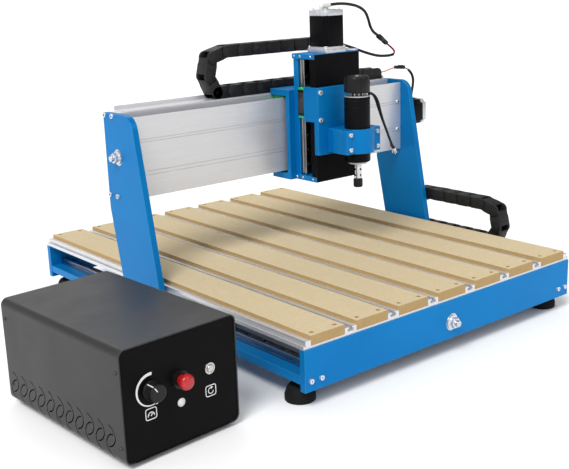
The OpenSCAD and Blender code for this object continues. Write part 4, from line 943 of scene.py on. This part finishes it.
FLOOR, FOOT_X, FOOT_Y = -30, 326, 42
BOX_W = 210
BOX = moved(-664, 23.5, -22) @ turned(3.5)
feet = Piece("rubber_feet_turned", RUBBER)
for x in (-FOOT_X, FOOT_X):
    for y in (FOOT_Y, BASE_D - FOOT_Y):
        feet.lathe([(0, 0), (23, 0), (25.2, 0.6), (26, 2), (26, 11), (25.4, 12.4), (22, 22),
                    (20.5, 24), (17.6, 27.4), (16, 28), (5.2, 28), (5.2, 20), (0, 20)], RUBBER,
                   moved(x, y, FLOOR), 64)
for u in (25, BOX_W - 25):
    for v in (30, 305):
        feet.lathe([(0, -8), (8.4, -8), (9, -7.4), (10.4, -0.6), (10.5, 0), (0, 0)], RUBBER,
                   BOX @ moved(u, v, 0), 40)
feet.done("base", ["rubber_feet"])

# ---- Control box ----

PANEL_FACE = BOX @ facing((0, 1.5, 0), "-y")
DIAL, STOP, RESET, CONTROL_ROW = 51, 102, 157, 102
DIAL_ICON, RESET_ICON, ICON_ROW = 49, 158, 65.5
PRINT_LOW, PRINT_HIGH = -0.4, 0.25
DIAL_RIBS = 36


def ribbon(piece, points, widths, closed=False):
    """Raised printed line through the points of the panel, with one width or a width at each."""
    part = bmesh.new()
    count = len(points)
    rows = []
    for i, (x, y) in enumerate(points):
        before = points[(i - 1) % count if closed else max(i - 1, 0)]
        after = points[(i + 1) % count if closed else min(i + 1, count - 1)]
        run = Vector((after[0] - before[0], after[1] - before[1])).normalized()
        half = (widths[i] if isinstance(widths, list) else widths) / 2
        off = Vector((-run.y, run.x)) * half
        rows.append([part.verts.new((x + s * off.x, y + s * off.y, h)) for s, h in
                     ((-1, PRINT_LOW), (1, PRINT_LOW), (1, PRINT_HIGH), (-1, PRINT_HIGH))])
    pairs = list(zip(rows, rows[1:])) + ([(rows[-1], rows[0])] if closed else [])
    for a, b in pairs:
        for k in range(4):
            part.faces.new((a[k], a[(k + 1) % 4], b[(k + 1) % 4], b[k]))
    if not closed:
        part.faces.new(rows[0])
        part.faces.new(rows[-1])
    bmesh.ops.recalc_face_normals(part, faces=part.faces)
    piece.add(part, PRINT, PANEL_FACE)


def panel_marks():
    marks = Piece("panel_marks", PRINT)
    sweep = arc(DIAL, CONTROL_ROW, 24, 82, 284, 48)
    ribbon(marks, sweep, [4.6 - 3.2 * i / 48 for i in range(49)])
    ribbon(marks, [(58.2, 77), (62, 78.2)], 1.2)
    for x in (DIAL_ICON, RESET_ICON):
        ribbon(marks, rounded(x - 9.4, ICON_ROW - 8.4, x + 9.4, ICON_ROW + 8.4, 3.4, 6), 1.3, True)
    hub = ICON_ROW - 3
    ribbon(marks, arc(DIAL_ICON, hub, 5.6, -10, 190, 20), 1.1)
    for turn in (30, 90, 150):
        tick = [(DIAL_ICON + x, hub + y) for x, y in (polar(3.4, turn), polar(4.9, turn))]
        ribbon(marks, tick, 0.8)
    ribbon(marks, [(DIAL_ICON - 0.4, hub - 0.4), (DIAL_ICON + 2.6, hub + 3.6)], 1.2)
    ribbon(marks, arc(RESET_ICON, ICON_ROW, 4.7, 60, 350, 24), 1.2)
    marks.prism([(RESET_ICON + 0.2, ICON_ROW + 2), (RESET_ICON + 4.6, ICON_ROW + 4.6),
                 (RESET_ICON + 0.2, ICON_ROW + 7)], PRINT_LOW, PRINT_HIGH, PRINT, PANEL_FACE, 0)
    marks.done("base")

    lamp = Piece("panel_lamp", CHROME)
    spot = PANEL_FACE @ moved(STOP, ICON_ROW, 0)
    lamp.bar(7, -0.5, 1.6, CHROME, spot, 40, 0.5)
    lamp.lathe([(5.6, 1), (5.4, 1.9), (4.4, 2.6), (2.4, 3), (0, 3.1)], LAMP, spot, 40)
    lamp.done("base")


def controls():
    """The dial, the stop button and the reset button, each on its own body."""
    knob = Piece("speed_dial", PLASTIC)
    spot = PANEL_FACE @ moved(DIAL, CONTROL_ROW, 0)

    def ribbed(radius, height, turn):
        side = radius > 12.8 and 4 < height < 19
        return radius - (0.55 if side and math.cos(DIAL_RIBS * turn) > 0 else 0)

    knob.lathe([(0, 0.5), (14.8, 0.5), (15, 1), (15, 3.2), (14.3, 4.2), (14.2, 18), (13.4, 19.6),
                (12.4, 20.4), (10.6, 20.6), (10.2, 20.2), (0, 20)], PLASTIC, spot, 216,
               shape=ribbed)
    knob.bar(4, -13, 1, STEEL, spot, 24, 0.4)
    line = spot @ turned(35)
    knob.block((-0.7, 4, 19.8), (0.7, 12.2, 20.75), PRINT, line, 0.1)
    knob.block((-0.7, 12.8, 5), (0.7, 14.9, 19), PRINT, line, 0.1)
    knob.done("knob", ["speed_knob"])

    stop = Piece("stop_mushroom", RED)
    spot = PANEL_FACE @ moved(STOP, CONTROL_ROW, 0)
    stop.lathe([(0, -6), (7.9, -6), (7.9, 12.4), (10.6, 12.8), (11.7, 14), (12, 15.6), (11.8, 19),
                (11, 21.4), (9.2, 23), (5.8, 23.9), (0, 24.4)], RED, spot, 72)
    for turn in range(24):
        a = turned(15 * turn) @ moved(11.65, 0, 0)
        stop.block((-0.2, -0.7, 14.6), (0.45, 0.7, 19), RED, spot @ a, 0.2)
    stop.done("stop", ["stop_button"])

    reset = Piece("reset_push", CHROME)
    spot = PANEL_FACE @ moved(RESET, CONTROL_ROW, 0)
    reset.lathe([(0, -7.8), (6, -7.8), (6, 4), (5.6, 4.7), (5, 5), (4.4, 4.7), (0, 4.5)], CHROME,
                spot, 48)
    reset.done("reset", ["reset_button"])


def box_screws():
    piece = Piece("box_side_screws", PLASTIC)
    for u, face in ((0, "-x"), (BOX_W, "+x")):
        for v, z in ((10, 140), (326, 143), (10, 25), (326, 29)):
            piece.pan_screw(2.9, BOX @ facing((u, v, z), face), DULL)
    piece.done("base")


panel_marks()
controls()
box_screws()

# ---- Finishes of the CAD parts that stay visible ----

FINISHES = {
    BLUE: ["front_plate", "rear_plate", "side_beams", "gantry_plate_left", "gantry_plate_right",
           "gantry_crossmember", "x_carriage_plate", "z_back_plate", "z_end_plates", "z_saddle",
           "spindle_clamp", "y_ball_nut", "x_ball_nut", "z_ball_nut"],
    SILVER_Y: ["table_profiles", "y_chain_tray"],
    SILVER_X: ["gantry_beam", "x_chain_tray"],
    BOARD: ["table_slats"],
    STEEL: ["base_screws"],
    RAIL_X: ["x_rails"],
    RAIL_Y: ["y_rails"],
    RAIL_Z: ["z_rails"],
    CAST: ["power_supply"],
    POWDER: ["z_cover", "y_bearings", "x_bearings", "z_bearings", "box_base"],
    SHELL: ["box_shell"],
    PANEL: ["box_front_panel"],
    CIRCUIT: ["driver_board"],
}
for material, names in FINISHES.items():
    for name in names:
        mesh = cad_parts[name].data
        mesh.materials.clear()
        mesh.materials.append(material)


UNPLACE = WORK.inverted()
UNBOX = BOX.inverted()
NUT_REACH = 25
BEARING_REACH = 15.9


def paint(name, material, chosen):
    """Gives the faces of a CAD part that pass a test, by their middle in millimetres, a finish."""
    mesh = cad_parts[name].data
    mesh.materials.append(material)
    for face in mesh.polygons:
        if chosen(UNPLACE @ face.center):
            face.material_index = len(mesh.materials) - 1


def off_axis(across, up, centre, reach):
    """Whether a face's middle lies within a reach of a screw's axis."""
    return math.hypot(across - centre[0], up - centre[1]) < reach


paint("y_ball_nut", STEEL, lambda c: off_axis(c.x, c.z, (0, SCREW_Z), NUT_REACH)
      and (c.y < 450.9 or c.y > 481.1))
paint("x_ball_nut", STEEL, lambda c: off_axis(c.y, c.z, (CROSS_Y, CROSS_Z), NUT_REACH)
      and (c.x < 57.4 or c.x > 88.6))
paint("z_ball_nut", STEEL, lambda c: off_axis(c.x, c.y, (LIFT_X, LIFT_Y), NUT_REACH)
      and (c.z < 357.9 or c.z > 382.1))
paint("z_end_plates", STEEL, lambda c: c.y > 435.5 and c.z > 470 and c.x > 118)
paint("spindle_clamp", STEEL, lambda c: (c.y < 303.5 and abs(c.x - LIFT_X) > 34)
      or (c.y < 363.9 and abs(c.x - LIFT_X) > 55))
paint("y_bearings", BRIGHT, lambda c: off_axis(c.x, c.z, (0, SCREW_Z), BEARING_REACH)
      and (c.y < 12 or 831 < c.y < 843))
paint("x_bearings", BRIGHT, lambda c: off_axis(c.y, c.z, (CROSS_Y, CROSS_Z), BEARING_REACH))
paint("z_bearings", BRIGHT, lambda c: off_axis(c.x, c.y, (LIFT_X, LIFT_Y), BEARING_REACH))
paint("box_front_panel", CHROME, lambda c: (UNBOX @ c).y < 1.45 and (UNBOX @ c).x > 130)
paint("box_front_panel", PLASTIC, lambda c: (UNBOX @ c).y < 1.45 and 80 < (UNBOX @ c).x < 130)
paint("box_front_panel", STEEL, lambda c: (UNBOX @ c).y > 4.55)
paint("driver_board", PLASTIC, lambda c: (UNBOX @ c).z > 12.5)


# ---- Light and floor ----


def soft_sun(name, azimuth, elevation, strength, spread):
    """Sun shining from a bearing (0 is the front, 90 the left) and a height, in degrees."""
    data = bpy.data.lights.new(name, "SUN")
    data.energy = strength
    data.angle = math.radians(spread)
    lamp = add_object(name, data)
    turn, rise = math.radians(azimuth), math.radians(elevation)
    level = math.cos(rise)
    source = Vector((-math.sin(turn) * level, -math.cos(turn) * level, math.sin(rise)))
    lamp.location = 3 * source
    lamp.rotation_mode = "QUATERNION"
    lamp.rotation_quaternion = (-source).to_track_quat("-Z", "Y")


def studio():
    """White world, brighter from the left and plain white to the camera, three suns and a floor."""
    scene = bpy.context.scene
    scene.view_settings.view_transform = "Standard"
    world = bpy.data.worlds.new("studio")
    scene.world = world
    world.use_nodes = True
    tree = world.node_tree
    back = tree.nodes["Background"]
    back.inputs["Color"].default_value = (1, 1, 1, 1)
    rays = add_node(tree, "ShaderNodeLightPath")
    where = add_node(tree, "ShaderNodeTexCoord")
    parts = add_node(tree, "ShaderNodeSeparateXYZ", {0: where.outputs["Generated"]})
    shade = ramp(tree, parts.outputs["X"], (-0.8, 0.6), (0.86, 0.3))
    seen = ramp(tree, rays.outputs["Is Camera Ray"], (0, 1), (shade, 1))
    tree.links.new(seen, back.inputs["Strength"])
    soft_sun("key", 62, 52, 2.1, 24)
    soft_sun("fill", -25, 38, 0.5, 40)
    soft_sun("back", 205, 40, 0.5, 40)
    sheet = bpy.data.meshes.new("floor")
    part = bmesh.new()
    bmesh.ops.create_circle(part, cap_ends=True, segments=96, radius=90)
    part.to_mesh(sheet)
    part.free()
    sheet.materials.append(finish("floor_pale", rgb(250, 250, 250), rgb(248, 248, 248), 0.9,
                                  grain=1.2, bump=0.02, edge=0, gloss=0.1))
    floor = add_object("floor", sheet)


studio()
